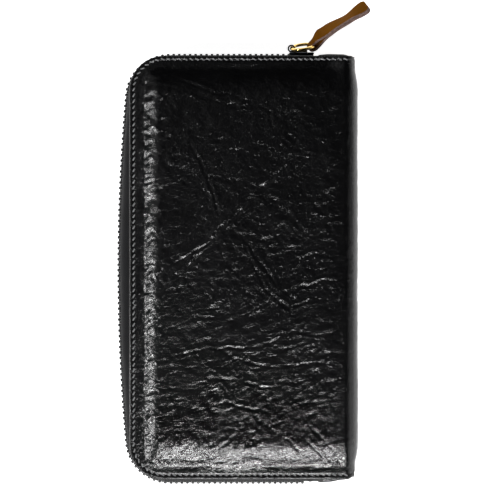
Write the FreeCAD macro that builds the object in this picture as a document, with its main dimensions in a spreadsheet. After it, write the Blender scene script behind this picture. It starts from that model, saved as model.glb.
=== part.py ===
"""A zip around wallet, closed and lying on its back cover.

Millimetres. The origin is the middle of the back cover's flat face, +X points to the spine,
+Y to the end where the zip closes, and +Z up through the closed wallet. Both halves are the
same stack of layers, so each half is drawn upwards from the middle plane, where the two rows
of teeth meet, and the back half is turned over about X.
"""
import FreeCAD, Part
import math
import os
import Sketcher
from FreeCAD import Placement, Rotation, Vector

DIMENSIONS = [
    # alias, value, meaning; a level is a height above the middle plane
    ("mid_height", 13.5, "height of the middle plane above the rest face"),
    ("cover_left", 52.0, "opening edge of the cover, from the origin"),
    ("cover_right", 50.4, "spine edge of the cover, from the origin"),
    ("cover_half", 96.4, "half of the cover's length"),
    ("cover_corner", 16.0, "corner radius at the opening edge"),
    ("flange_level", 10.3, "underside of the sewn leather edge"),
    ("flange_thickness", 1.0, "thickness of the sewn leather edge"),
    ("cover_level", 13.5, "outer face of the padded cover"),
    ("panel_inset", 4.2, "edge of the cover to the raised panel"),
    ("panel_round", 1.8, "rounding of the raised panel"),
    ("hollow_inset", 5.4, "edge of the cover to the hollow under the panel"),
    ("hollow_depth", 2.2, "depth of the hollow that holds board and foam"),
    ("spine_wall", 1.2, "leather between the hollow and the spine edge"),
    ("core_slack", 0.2, "gap between the layers inside a cover and its spine edge"),
    ("board_inset", 5.9, "edge of the cover to the board"),
    ("board_level", 9.8, "inner face of the board"),
    ("board_thickness", 0.7, "thickness of the board"),
    ("foam_inset", 6.2, "edge of the cover to the foam"),
    ("foam_thickness", 2.0, "thickness of the foam"),
    ("lining_level", 9.4, "inner face of the lining"),
    ("lining_thickness", 0.4, "thickness of the lining"),
    ("lining_inset", 2.4, "edge of the cover to the lining"),
    ("strip_count", 4, "card strips in each half"),
    ("strip_thickness", 0.5, "thickness of a card strip"),
    ("strip_left", 44.0, "mouth of the deepest card strip, from the origin"),
    ("strip_step", 12.0, "distance between two mouths"),
    ("strip_right", 47.0, "spine end of the card strips"),
    ("strip_half", 77.5, "half of a card strip's length"),
    ("strip_corner", 2.0, "corner radius of a card strip"),
    ("tape_half", 96.6, "middle of the zip tape on the straight runs"),
    ("tape_left", 56.1, "middle of the zip tape at the opening edge"),
    ("tape_end", 36.4, "where the zip tape ends, near the spine"),
    ("tape_corner", 19.0, "radius of the zip round a corner"),
    ("tape_bow", 900.0, "radius of the bowed run between the corners"),
    ("tape_thickness", 0.5, "thickness of the zip tape"),
    ("tape_edge", 1.2, "level of the tape's toothed edge"),
    ("tape_inset", 5.0, "how far the tape reaches in under the cover"),
    ("tooth_pitch", 2.5, "distance between two teeth of one row"),
    ("tooth_length", 1.1, "tooth along the tape"),
    ("tooth_depth", 2.0, "tooth across the tape"),
    ("tooth_low", -0.8, "tip of the tooth, past the middle plane"),
    ("tooth_high", 2.5, "back of the tooth"),
    ("teeth_end", 27.6, "last tooth on the straight runs"),
    ("slot_slack", 0.04, "gap between a tooth's jaws and the tape"),
    ("stop_middle", 30.4, "middle of a stop, from the origin"),
    ("stop_length", 1.8, "stop along the tape"),
    ("stop_depth", 1.1, "stop across the tape"),
    ("stop_low", 0.9, "tip of the stop"),
    ("spine_inner", 50.7, "inner face of the spine lining"),
    ("spine_seam", 51.2, "between spine lining and spine leather"),
    ("spine_outer", 52.0, "outer face of the spine leather"),
    ("spine_end", 1.2, "gap between the spine and the outer faces"),
    ("pocket_left", 28.0, "mouth of the coin pocket, from the origin"),
    ("pocket_half", 86.0, "half of the coin pocket's length"),
    ("pocket_level", 2.5, "inner face of a coin pocket panel"),
    ("panel_thickness", 0.5, "thickness of a coin pocket panel"),
    ("pocket_corner", 3.0, "corner radius of a coin pocket panel"),
    ("coin_tape_half", 80.0, "half of the coin zip's length"),
    ("coin_tape_edge", 1.0, "level of the coin tape's toothed edge"),
    ("coin_pitch", 2.0, "pitch of the coin zip's teeth"),
    ("coin_teeth_top", 65.0, "last tooth below the closed coin slider"),
    ("coin_teeth_gap", 2.0, "first tooth of the coin zip, from the tape's end"),
    ("coin_tooth_length", 0.8, "coin tooth along the tape"),
    ("coin_tooth_depth", 1.5, "coin tooth across the tape"),
    ("coin_tooth_low", -0.6, "tip of the coin tooth, past the middle plane"),
    ("coin_tooth_high", 1.8, "back of the coin tooth"),
    ("coin_slider_low", 64.0, "lower end of the closed coin slider"),
    ("coin_slider_high", 73.0, "upper end of the closed coin slider"),
    ("coin_slider_half", 2.3, "half of the coin slider across the zip"),
    ("coin_plate_gap", 2.5, "gap between the coin slider's plates"),
    ("coin_plate_wall", 0.8, "thickness of a coin slider plate"),
    ("coin_wedge_low", 69.0, "lower end of the coin slider's wedge"),
    ("coin_wedge_high", 72.0, "upper end of the coin slider's wedge"),
    ("coin_wedge_half", 0.5, "half of the wedge across the zip"),
    ("coin_post_y", 70.0, "pivot of the coin pull, from the origin"),
    ("coin_post_reach", 3.45, "pivot of the coin pull, from the middle of the coin tape"),
    ("coin_bridge_radius", 1.6, "radius of the coin slider's bridge"),
    ("coin_bridge_half", 1.2, "half of the bridge across the zip"),
    ("coin_hole", 0.9, "radius of the hole in the bridge"),
    ("coin_pin", 0.6, "radius of the coin pull's pin"),
    ("coin_arm_inner", 1.6, "inner face of an arm, from the middle plane"),
    ("coin_pull_half", 2.3, "half of the coin pull's width"),
    ("coin_pull_tip", 56.0, "free end of the coin pull"),
    ("coin_arm_low", 66.0, "lower end of an arm"),
    ("coin_grip_high", 67.0, "upper end of the grip"),
    ("coin_pull_wall", 1.0, "thickness of the coin pull"),
    ("gusset_fold", 79.0, "inner fold of a gusset, from the middle"),
    ("gusset_left", 40.0, "free end of a gusset, from the origin"),
    ("gusset_right", 46.0, "spine end of a gusset"),
    ("gusset_thickness", 0.4, "thickness of a gusset"),
    ("gusset_inset", 6.5, "end of the cover to the head of a gusset"),
    ("gusset_slack", 0.1, "gap between a gusset and its neighbours"),
    ("slider_middle", 26.5, "middle of the closed slider, from the origin"),
    ("slider_length", 11.4, "slider along the zip"),
    ("slider_width", 8.4, "slider across the zip"),
    ("plate_thickness", 0.9, "thickness of a slider plate"),
    ("plate_gap", 2.6, "gap between the slider's plates"),
    ("rim_slot", 1.4, "slot for the tape between the slider's rims"),
    ("rim_width", 1.3, "width of a slider rim"),
    ("post_half", 0.7, "half of the slider's wedge"),
    ("wedge_length", 2.4, "slider's wedge along the zip"),
    ("wedge_setback", 0.4, "wedge to the slider's front end"),
    ("rib_height", 1.1, "rib on the slider's outer plate"),
    ("rib_setback", 3.0, "rib to the slider's front end, clear of the pull tab"),
    ("ring_radius", 5.15, "middle radius of the pull ring"),
    ("ring_wire", 0.75, "radius of the ring's wire"),
    ("ring_post_x", 21.9, "ring's pivot, from the origin"),
    ("ring_post_y", 100.6, "ring's pivot, from the origin"),
    ("ring_hole", 1.3, "radius of the hole in the slider's bridge"),
    ("ring_heading", 8.0, "turn of the ring from +X, degrees"),
    ("ring_lean", 14.0, "lean of the ring, degrees"),
    ("bridge_wall", 0.8, "wall round the hole in the bridge"),
    ("bridge_width", 2.4, "width of the bridge"),
    ("tab_heading", 36.0, "direction of the pull tab from +X, degrees"),
    ("tab_length", 30.5, "pull tab from its pivot to its tip"),
    ("tab_width", 9.0, "width of the pull tab"),
    ("tab_neck", 3.6, "width of the pull tab at the ring"),
    ("tab_straight", 3.0, "where the pull tab starts to widen"),
    ("tab_shoulder", 9.0, "where the pull tab reaches its width"),
    ("tab_tip_round", 2.0, "rounding of the pull tab's tip"),
    ("tab_thickness", 2.4, "both plies of the pull tab"),
    ("tab_eye", 1.75, "inner radius of the loop round the ring"),
    ("end_tab_left", 37.2, "free end of a zip end tab"),
    ("end_tab_inner", 95.0, "inner face of a zip end tab"),
    ("end_tab_outer", 98.2, "outer face of a zip end tab"),
    ("end_tab_ply", 0.8, "one ply of a zip end tab"),
    ("end_tab_half", 4.0, "half of a zip end tab's height"),
]

POST_X = "sizes.ring_post_x"
POST_Y = "sizes.ring_post_y"
COIN_POST_Y = "sizes.coin_post_y"
COIN_MIDDLE = "-sizes.pocket_left - sizes.panel_thickness / 2"

doc = FreeCAD.newDocument("zip_around_wallet")
sizes = doc.addObject("Spreadsheet::Sheet", "sizes")
nodes = []


def fill_sheet():
    """Write every driving dimension into the sheet under its alias."""
    for row, (alias, value, meaning) in enumerate(DIMENSIONS, start=1):
        sizes.set(f"A{row}", meaning)
        sizes.set(f"B{row}", str(value))
        sizes.setAlias(f"B{row}", alias)
    doc.recompute()


def size(alias):
    """The value of one driving dimension."""
    return float(sizes.get(alias))


def keep(obj, label):
    """Name an object as a piece of the wallet."""
    obj.Label = label
    nodes.append(obj)
    return obj


def turn_half(obj, side):
    """Stand a piece drawn from the middle plane in its half of the wallet."""
    turn = Rotation(Vector(1, 0, 0), 0 if side == "front" else 180)
    obj.Placement = Placement(Vector(0, 0, size("mid_height")), turn)
    obj.setExpression("Placement.Base.z", "sizes.mid_height")
    return obj


# ---------------------------------------------------------------- sketched sheets


def attach(body, sketch, plane, level="0"):
    """Lay a sketch on one of its body's own planes, lifted to a level."""
    features = body.Origin.OriginFeatures
    support = next(item for item in features if item.Role == plane)
    sketch.AttachmentSupport = [(support, "")]
    sketch.MapMode = "FlatFace"
    sketch.setExpression("AttachmentOffset.Base.z", level)


def dimension(sketch, name, constraint, expression):
    """Add a sketch dimension that follows an expression."""
    index = sketch.addConstraint(constraint)
    sketch.renameConstraint(index, name)
    sketch.setExpression("Constraints." + name, expression)


def outline(body, name, left, right, half_length, corner, level):
    """A rectangle centred on its length, with both corners at the opening side rounded."""
    sketch = body.newObject("Sketcher::SketchObject", name)
    attach(body, sketch, "XY_Plane", level)
    lower, upper = Vector(-20, -20), Vector(-20, 20)
    upward = Vector(0, 0, 1)
    sketch.addGeometry(Part.LineSegment(Vector(-20, -30), Vector(30, -30)))
    sketch.addGeometry(Part.LineSegment(Vector(30, -30), Vector(30, 30)))
    sketch.addGeometry(Part.LineSegment(Vector(30, 30), Vector(-20, 30)))
    sketch.addGeometry(Part.ArcOfCircle(Part.Circle(upper, upward, 10), math.pi / 2, math.pi))
    sketch.addGeometry(Part.LineSegment(Vector(-30, 20), Vector(-30, -20)))
    sketch.addGeometry(Part.ArcOfCircle(Part.Circle(lower, upward, 10), math.pi, 1.5 * math.pi))
    sketch.addConstraint(Sketcher.Constraint("Coincident", 0, 2, 1, 1))
    sketch.addConstraint(Sketcher.Constraint("Coincident", 1, 2, 2, 1))
    for first, second in ((2, 3), (3, 4), (4, 5), (5, 0)):
        sketch.addConstraint(Sketcher.Constraint("Tangent", first, 2, second, 1))
    for number, direction in ((0, "Horizontal"), (1, "Vertical"), (2, "Horizontal"), (4, "Vertical")):
        sketch.addConstraint(Sketcher.Constraint(direction, number))
    sketch.addConstraint(Sketcher.Constraint("Equal", 3, 5))
    dimension(sketch, "corner", Sketcher.Constraint("Radius", 3, 10), corner)
    dimension(sketch, "left", Sketcher.Constraint("DistanceX", 4, 1, -1, 1, 30), left)
    dimension(sketch, "right", Sketcher.Constraint("DistanceX", -1, 1, 1, 1, 30), right)
    dimension(sketch, "low", Sketcher.Constraint("DistanceY", 1, 1, -1, 1, 30), half_length)
    dimension(sketch, "high", Sketcher.Constraint("DistanceY", -1, 1, 1, 2, 30), half_length)
    return sketch


def inset_outline(body, name, inset, right, level):
    """The cover's outline at an inset."""
    left, half = f"sizes.cover_left - {inset}", f"sizes.cover_half - {inset}"
    return outline(body, name, left, right, half, f"sizes.cover_corner - {inset}", level)


def add_pad(body, sketch, name, depth, midplane=False):
    """Pad a sketch by an expression."""
    feature = body.newObject("PartDesign::Pad", name)
    feature.Profile = sketch
    feature.Midplane = midplane
    feature.setExpression("Length", depth)
    return feature


def round_edges(body, base, name, radius, wanted):
    """Round the edges of a feature that a test picks."""
    doc.recompute()
    edges = enumerate(base.Shape.Edges, start=1)
    feature = body.newObject("PartDesign::Fillet", name)
    feature.Base = (base, [f"Edge{number}" for number, edge in edges if wanted(edge)])
    feature.setExpression("Radius", radius)
    return feature


def sheet_body(label, left, right, half_length, level, thickness, corner):
    """A flat sheet whose two corners at the opening side are rounded."""
    body = keep(doc.addObject("PartDesign::Body", label), label)
    shape = outline(body, label + "_outline", left, right, half_length, corner, level)
    add_pad(body, shape, label + "_pad", thickness)
    return body


def inset_sheet(label, inset, right, level, thickness):
    """A sheet that follows the cover's outline at an inset."""
    body = keep(doc.addObject("PartDesign::Body", label), label)
    shape = inset_outline(body, label + "_outline", inset, right, level)
    add_pad(body, shape, label + "_pad", thickness)
    return body


# ---------------------------------------------------------------- the covers


def cover_leather(side):
    """Outer leather: a sewn edge all round, and a raised panel that is hollow underneath."""
    label = side + "_cover_leather"
    right, level = "sizes.cover_right", "sizes.flange_level"
    body = inset_sheet(label, "0", right, level, "sizes.flange_thickness")
    panel = inset_outline(body, label + "_panel", "sizes.panel_inset", right, level)
    raised = add_pad(body, panel, label + "_raised", "sizes.cover_level - sizes.flange_level")
    top, spine_edge = size("cover_level"), size("cover_right")
    softened = round_edges(
        body,
        raised,
        label + "_panel_edge",
        "sizes.panel_round",
        lambda edge: edge.BoundBox.ZMin > top - 1e-6 and edge.CenterOfMass.x < spine_edge - 1,
    )
    doc.recompute()
    before = softened.Shape.Volume
    hollow_right = "sizes.cover_right - sizes.spine_wall"
    hollow = inset_outline(body, label + "_hollow", "sizes.hollow_inset", hollow_right, level)
    pocket = body.newObject("PartDesign::Pocket", label + "_pocket")
    pocket.Profile = hollow
    pocket.Reversed = True
    pocket.setExpression("Length", "sizes.hollow_depth")
    doc.recompute()
    if pocket.Shape.Volume >= before:
        raise RuntimeError(label + " has no hollow")
    return turn_half(body, side)


def cover_core(side):
    """Board, foam and lining inside the cover."""
    board_right = "sizes.cover_right - sizes.spine_wall - sizes.core_slack"
    turn_half(
        inset_sheet(
            side + "_stiffener_board",
            "sizes.board_inset",
            board_right,
            "sizes.board_level",
            "sizes.board_thickness",
        ),
        side,
    )
    turn_half(
        inset_sheet(
            side + "_foam_pad",
            "sizes.foam_inset",
            board_right,
            "sizes.board_level + sizes.board_thickness",
            "sizes.foam_thickness",
        ),
        side,
    )
    turn_half(
        inset_sheet(
            side + "_lining",
            "sizes.lining_inset",
            "sizes.cover_right - sizes.core_slack",
            "sizes.lining_level",
            "sizes.lining_thickness",
        ),
        side,
    )


def card_strips(side):
    """Card strips, the deepest against the lining, each mouth a step nearer the spine."""
    for number in range(1, int(size("strip_count")) + 1):
        body = sheet_body(
            f"{side}_card_strip_{number}",
            f"sizes.strip_left - {number - 1} * sizes.strip_step",
            "sizes.strip_right",
            "sizes.strip_half",
            f"sizes.lining_level - {number} * sizes.strip_thickness",
            "sizes.strip_thickness",
            "sizes.strip_corner",
        )
        turn_half(body, side)


# ---------------------------------------------------------------- the zip


def run_geometry():
    """Centres and angle that join the zip's straight runs, corners and bowed side."""
    bow, corner = size("tape_bow"), size("tape_corner")
    bow_x = bow - size("tape_left")
    corner_y = size("tape_half") - corner
    corner_x = bow_x - math.sqrt((bow - corner) ** 2 - corner_y**2)
    angle = math.asin(corner_y / (bow - corner))
    return bow_x, corner_x, corner_y, angle


def run_edges(offset):
    """The zip's U-shaped line moved outward by an offset, from one end to the other."""
    bow_x, corner_x, corner_y, angle = run_geometry()
    radius = size("tape_corner") + offset
    top = size("tape_half") + offset
    halfway = (angle + math.pi / 2) / 2
    upper = []
    for turn in (math.pi / 2, halfway, angle):
        upper.append(Vector(corner_x - radius * math.cos(turn), corner_y + radius * math.sin(turn)))
    lower = [Vector(point.x, -point.y) for point in upper]
    return [
        Part.LineSegment(Vector(size("tape_end"), top), upper[0]),
        Part.Arc(*upper),
        Part.Arc(upper[2], Vector(-size("tape_left") - offset, 0), lower[2]),
        Part.Arc(*reversed(lower)),
        Part.LineSegment(lower[0], Vector(size("tape_end"), -top)),
    ]


def inset_edges(inset):
    """The cover's outline at an inset, from the zip's one end round to the other."""
    radius = size("cover_corner") - inset
    top = size("cover_half") - inset
    left = -(size("cover_left") - inset)
    bend = radius * (1 - math.sqrt(0.5))
    end = size("tape_end")
    return [
        Part.LineSegment(Vector(end, top), Vector(left + radius, top)),
        Part.Arc(Vector(left + radius, top), Vector(left + bend, top - bend), Vector(left, top - radius)),
        Part.LineSegment(Vector(left, top - radius), Vector(left, radius - top)),
        Part.Arc(Vector(left, radius - top), Vector(left + bend, bend - top), Vector(left + radius, -top)),
        Part.LineSegment(Vector(left + radius, -top), Vector(end, -top)),
    ]


def band(outer, inner, low, high):
    """A prism between two U-shaped lines, from one level to another."""
    edges = [curve.toShape() for curve in outer + inner]
    for index, side in ((0, "StartPoint"), (-1, "EndPoint")):
        ends = [getattr(line[index], side) for line in (outer, inner)]
        edges.append(Part.makeLine(*ends))
    face = Part.Face(Part.Wire(Part.__sortEdges__(edges)))
    face.translate(Vector(0, 0, low))
    return face.extrude(Vector(0, 0, high - low))


def zip_tape(side):
    """Tape: sewn flat under the cover's edge, then turned across to the middle plane."""
    half_thickness = size("tape_thickness") / 2
    level, edge = size("flange_level"), size("tape_edge")
    wall = band(run_edges(half_thickness), run_edges(-half_thickness), edge, level)
    sewn = band(run_edges(half_thickness), inset_edges(size("tape_inset")), size("board_level"), level)
    tape = keep(doc.addObject("Part::Feature", side + "_zip_tape"), side + "_zip_tape")
    tape.Shape = wall.fuse(sewn).removeSplitter()
    return turn_half(tape, side)


def clamp(length, depth, low, high, tape_edge, tape_thickness):
    """A block that grips the tape's edge; x along the tape, y across it, z up the tape."""
    block = Part.makeBox(length, depth, high - low, Vector(-length / 2, -depth / 2, low))
    gap = tape_thickness + 2 * size("slot_slack")
    slot = Part.makeBox(2 * length, gap, high, Vector(-length, -gap / 2, tape_edge))
    return block.cut(slot)


def place_on_run(shape, distance):
    """Set a shape on the zip's line at a distance from the middle of the opening edge."""
    bow_x, corner_x, corner_y, angle = run_geometry()
    bow, corner = size("tape_bow"), size("tape_corner")
    along = abs(distance)
    side = math.copysign(1, distance)
    if along < bow * angle:
        turn = along / bow
        point = Vector(bow_x - bow * math.cos(turn), bow * math.sin(turn))
    else:
        turn = min(angle + (along - bow * angle) / corner, math.pi / 2)
        straight = max(0, along - bow * angle - corner * (math.pi / 2 - angle))
        point = Vector(corner_x - corner * math.cos(turn) + straight, corner_y + corner * math.sin(turn))
    placed = shape.copy()
    facing = math.degrees(math.atan2(side * math.sin(turn), -math.cos(turn))) - 90
    placed.Placement = Placement(Vector(point.x, side * point.y), Rotation(Vector(0, 0, 1), facing))
    return placed


def distance_to(x):
    """Distance along the zip from the middle of the opening edge to a place on a straight run."""
    corner_x, angle = run_geometry()[1], run_geometry()[3]
    bends = size("tape_bow") * angle + size("tape_corner") * (math.pi / 2 - angle)
    return bends + x - corner_x


def zip_teeth(side):
    """One row of teeth; the other row is the same row turned over, half a pitch along."""
    tooth = clamp(
        size("tooth_length"),
        size("tooth_depth"),
        size("tooth_low"),
        size("tooth_high"),
        size("tape_edge"),
        size("tape_thickness"),
    )
    pitch = size("tooth_pitch")
    count = int(distance_to(size("teeth_end")) / pitch)
    teeth = [place_on_run(tooth, (number - 0.25) * pitch) for number in range(-count, count + 1)]
    row = keep(doc.addObject("Part::Feature", side + "_zip_teeth"), side + "_zip_teeth")
    row.Shape = Part.makeCompound(teeth)
    return turn_half(row, side)


def zip_stops(side):
    """The stops at both ends of one row of teeth."""
    stop = clamp(
        size("stop_length"),
        size("stop_depth"),
        size("stop_low"),
        size("tooth_high"),
        size("tape_edge"),
        size("tape_thickness"),
    )
    reach = distance_to(size("stop_middle"))
    pair = keep(doc.addObject("Part::Feature", side + "_zip_stops"), side + "_zip_stops")
    pair.Shape = Part.makeCompound([place_on_run(stop, reach), place_on_run(stop, -reach)])
    return turn_half(pair, side)


# ---------------------------------------------------------------- blocks and round parts


def block(name, low, high):
    """A box between two corners, each given as three expressions."""
    box = doc.addObject("Part::Box", name)
    for axis, field, start, end in zip("xyz", ("Length", "Width", "Height"), low, high):
        box.setExpression("Placement.Base." + axis, start)
        box.setExpression(field, f"({end}) - ({start})")
    return box


def upright_cylinder(name, x, y, radius, half_height):
    """A cylinder along Z, centred on the middle plane."""
    cylinder = doc.addObject("Part::Cylinder", name)
    cylinder.setExpression("Placement.Base.x", x)
    cylinder.setExpression("Placement.Base.y", y)
    cylinder.setExpression("Placement.Base.z", f"sizes.mid_height - ({half_height})")
    cylinder.setExpression("Radius", radius)
    cylinder.setExpression("Height", f"2 * ({half_height})")
    return cylinder


def fuse(name, shapes):
    """Join several objects into one."""
    joined = doc.addObject("Part::MultiFuse", name)
    joined.Shapes = shapes
    joined.Refine = True
    return joined


def cut(name, base, tool):
    """Take one object away from another."""
    result = doc.addObject("Part::Cut", name)
    result.Base = base
    result.Tool = tool
    result.Refine = True
    return result


def levels(half):
    """Lowest and highest z of something centred on the middle plane."""
    return f"sizes.mid_height - ({half})", f"sizes.mid_height + ({half})"


def main_slider():
    """Slider of the main zip: two plates with rims, joined by a wedge, and a bridge for the ring."""
    start = "sizes.slider_middle - sizes.slider_length / 2"
    end = "sizes.slider_middle + sizes.slider_length / 2"
    low, high = levels("sizes.slider_width / 2")
    rims = (("low", low, f"{low} + sizes.rim_width"), ("high", f"{high} - sizes.rim_width", high))
    pieces = []
    for name, way in (("outer", "+"), ("inner", "-")):
        near = f"sizes.tape_half {way} sizes.plate_gap / 2"
        far = f"sizes.tape_half {way} (sizes.plate_gap / 2 + sizes.plate_thickness)"
        lip = f"sizes.tape_half {way} sizes.rim_slot / 2"
        plate_y = (near, far) if way == "+" else (far, near)
        rim_y = (lip, near) if way == "+" else (near, lip)
        plate = block("slider_plate_" + name, (start, plate_y[0], low), (end, plate_y[1], high))
        pieces.append(plate)
        for place, bottom, top in rims:
            rim = block(f"slider_rim_{name}_{place}", (start, rim_y[0], bottom), (end, rim_y[1], top))
            pieces.append(rim)
    pieces.append(slider_wedge(end))
    pieces += slider_bridge(end)
    hole = upright_cylinder("slider_hole", POST_X, POST_Y, "sizes.ring_hole", "sizes.bridge_width")
    return keep(cut("zip_slider", fuse("slider_solid", pieces), hole), "zip_slider")


def slider_wedge(end):
    """Wedge between the slider's plates, which parts the two rows of teeth."""
    low, high = levels("sizes.post_half")
    stop = f"{end} - sizes.wedge_setback"
    inside = "sizes.tape_half - sizes.plate_gap / 2"
    outside = "sizes.tape_half + sizes.plate_gap / 2"
    return block("slider_wedge", (f"{stop} - sizes.wedge_length", inside, low), (stop, outside, high))


def slider_bridge(end):
    """Leg, rounded eye and rib on the slider's outer plate."""
    face = "sizes.tape_half + sizes.plate_gap / 2 + sizes.plate_thickness"
    low, high = levels("sizes.bridge_width / 2")
    reach = "sizes.ring_hole + sizes.bridge_wall"
    leg_start, leg_end = f"{POST_X} - ({reach})", f"{POST_X} + {reach}"
    rib_end, rib_top = f"{end} - sizes.rib_setback", f"{face} + sizes.rib_height"
    return [
        block("slider_leg", (leg_start, face, low), (leg_end, POST_Y, high)),
        block("slider_rib", (leg_end, face, low), (rib_end, rib_top, high)),
        upright_cylinder("slider_bridge", POST_X, POST_Y, reach, "sizes.bridge_width / 2"),
    ]


def pull_ring():
    """Round wire ring through the slider's bridge."""
    ring = keep(doc.addObject("Part::Torus", "pull_ring"), "pull_ring")
    ring.setExpression("Radius1", "sizes.ring_radius")
    ring.setExpression("Radius2", "sizes.ring_wire")
    heading = math.radians(size("ring_heading"))
    centre = Vector(
        size("ring_post_x") + size("ring_radius") * math.cos(heading),
        size("ring_post_y") + size("ring_radius") * math.sin(heading),
        size("mid_height"),
    )
    upright = Rotation(Vector(1, 0, 0), 90 + size("ring_lean"))
    turned = Rotation(Vector(0, 0, 1), size("ring_heading"))
    ring.Placement = Placement(centre, turned * upright)
    return ring


def tab_outline(body):
    """Half-symmetric outline of the pull tab: a narrow neck, a shoulder and a blunt end."""
    sketch = body.newObject("Sketcher::SketchObject", "tab_outline")
    attach(body, sketch, "XZ_Plane")
    neck, width = size("tab_neck") / 2, size("tab_width") / 2
    stations = [
        (0, neck),
        (size("tab_straight"), neck),
        (size("tab_shoulder"), width),
        (size("tab_length"), width),
    ]
    points = [Vector(along, across) for along, across in stations]
    points += [Vector(along, -across) for along, across in reversed(stations)]
    for number, point in enumerate(points):
        sketch.addGeometry(Part.LineSegment(point, points[(number + 1) % len(points)]))
    for number in range(len(points)):
        following = (number + 1) % len(points)
        sketch.addConstraint(Sketcher.Constraint("Coincident", number, 2, following, 1))
    return sketch


def tab_circle(body, name, radius):
    """A circle about the pull tab's pivot."""
    sketch = body.newObject("Sketcher::SketchObject", name)
    attach(body, sketch, "XY_Plane")
    sketch.addGeometry(Part.Circle(Vector(0, 0, 0), Vector(0, 0, 1), 1))
    sketch.addConstraint(Sketcher.Constraint("Coincident", 0, 3, -1, 1))
    dimension(sketch, "radius", Sketcher.Constraint("Radius", 0, 1), radius)
    return sketch


def pull_tab():
    """Leather pull: one strap folded round the ring, its two plies glued and sewn together."""
    body = keep(doc.addObject("PartDesign::Body", "leather_pull_tab"), "leather_pull_tab")
    add_pad(body, tab_outline(body), "tab_strap", "sizes.tab_thickness", midplane=True)
    rim = tab_circle(body, "tab_loop_outline", "sizes.tab_eye + sizes.tab_thickness / 2")
    add_pad(body, rim, "tab_loop", "sizes.tab_neck", midplane=True)
    pocket = body.newObject("PartDesign::Pocket", "tab_eye_pocket")
    pocket.Profile = tab_circle(body, "tab_eye_outline", "sizes.tab_eye")
    pocket.Midplane = True
    pocket.setExpression("Length", "2 * sizes.tab_width")
    tip = size("tab_length")
    round_edges(
        body,
        pocket,
        "tab_tip_corners",
        "sizes.tab_tip_round",
        lambda edge: edge.BoundBox.XMin > tip - 1e-6 and edge.BoundBox.YLength > 1,
    )
    heading = math.radians(size("ring_heading"))
    pivot = Vector(
        size("ring_post_x") + 2 * size("ring_radius") * math.cos(heading),
        size("ring_post_y") + 2 * size("ring_radius") * math.sin(heading),
        size("mid_height"),
    )
    body.Placement = Placement(pivot, Rotation(Vector(0, 0, 1), size("tab_heading")))
    return body


# ---------------------------------------------------------------- spine, gussets, coin pocket


def spine():
    """Spine leather and its lining between the two folds."""
    for label, start, end in (
        ("spine_leather", "sizes.spine_seam", "sizes.spine_outer"),
        ("spine_lining", "sizes.spine_inner", "sizes.spine_seam"),
    ):
        low = (start, "-sizes.cover_half", "sizes.spine_end")
        high = (end, "sizes.cover_half", "2 * sizes.mid_height - sizes.spine_end")
        keep(block(label, low, high), label)


def zip_end_tabs():
    """Leather folded over the zip's two ends and sewn to the spine."""
    low, high = levels("sizes.end_tab_half")
    for label, way in (("top", 1), ("bottom", -1)):
        near, far = "sizes.end_tab_inner", "sizes.end_tab_outer"
        gap = (f"{near} + sizes.end_tab_ply", f"{far} - sizes.end_tab_ply")
        sides = (near, far) if way > 0 else (f"-{far}", f"-{near}")
        hollow = gap if way > 0 else (f"-({gap[1]})", f"-({gap[0]})")
        name = "zip_end_tab_" + label
        corner = ("sizes.spine_inner", sides[1], high)
        outer = block(name + "_block", ("sizes.end_tab_left", sides[0], low), corner)
        space = block(
            name + "_space",
            ("sizes.end_tab_left + sizes.end_tab_ply", hollow[0], f"{low} - 1"),
            ("sizes.spine_inner + 1", hollow[1], f"{high} + 1"),
        )
        keep(cut(name, outer, space), name)


def gusset(side, end, way):
    """A folded gusset between a cover's lining and the coin pocket."""
    thickness = size("gusset_thickness")
    low = size("pocket_level") + size("panel_thickness") + size("gusset_slack")
    high = size("lining_level") - size("gusset_slack")
    fold = size("gusset_fold")
    foot = size("pocket_half")
    head = size("cover_half") - size("gusset_inset")
    middle = (low + high) / 2
    profile = [
        (foot, low),
        (foot, low + thickness),
        (fold + 1.5 * thickness, middle),
        (head, high - thickness),
        (head, high),
        (head - 2 * thickness, high),
        (fold, middle),
        (foot - 2 * thickness, low),
    ]
    points = [Vector(-size("gusset_left"), way * y, z) for y, z in profile]
    face = Part.Face(Part.makePolygon(points + points[:1]))
    label = f"gusset_{end}_{side}"
    body = keep(doc.addObject("Part::Feature", label), label)
    body.Shape = face.extrude(Vector(size("gusset_left") + size("gusset_right"), 0, 0))
    return turn_half(body, side)


def coin_pocket():
    """Two panels, closed at both ends, with a zip at the opening side."""
    for side in ("back", "front"):
        panel = sheet_body(
            f"coin_pocket_{side}_panel",
            "sizes.pocket_left",
            "sizes.spine_inner",
            "sizes.pocket_half",
            "sizes.pocket_level",
            "sizes.panel_thickness",
            "sizes.pocket_corner",
        )
        turn_half(panel, side)
    low, high = levels("sizes.pocket_level")
    for end, sides in (
        ("top", ("sizes.pocket_half - sizes.panel_thickness", "sizes.pocket_half")),
        ("bottom", ("-sizes.pocket_half", "-sizes.pocket_half + sizes.panel_thickness")),
    ):
        label = "coin_pocket_end_" + end
        start = "-sizes.pocket_left + sizes.pocket_corner"
        keep(block(label, (start, sides[0], low), ("sizes.spine_inner", sides[1], high)), label)


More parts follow.
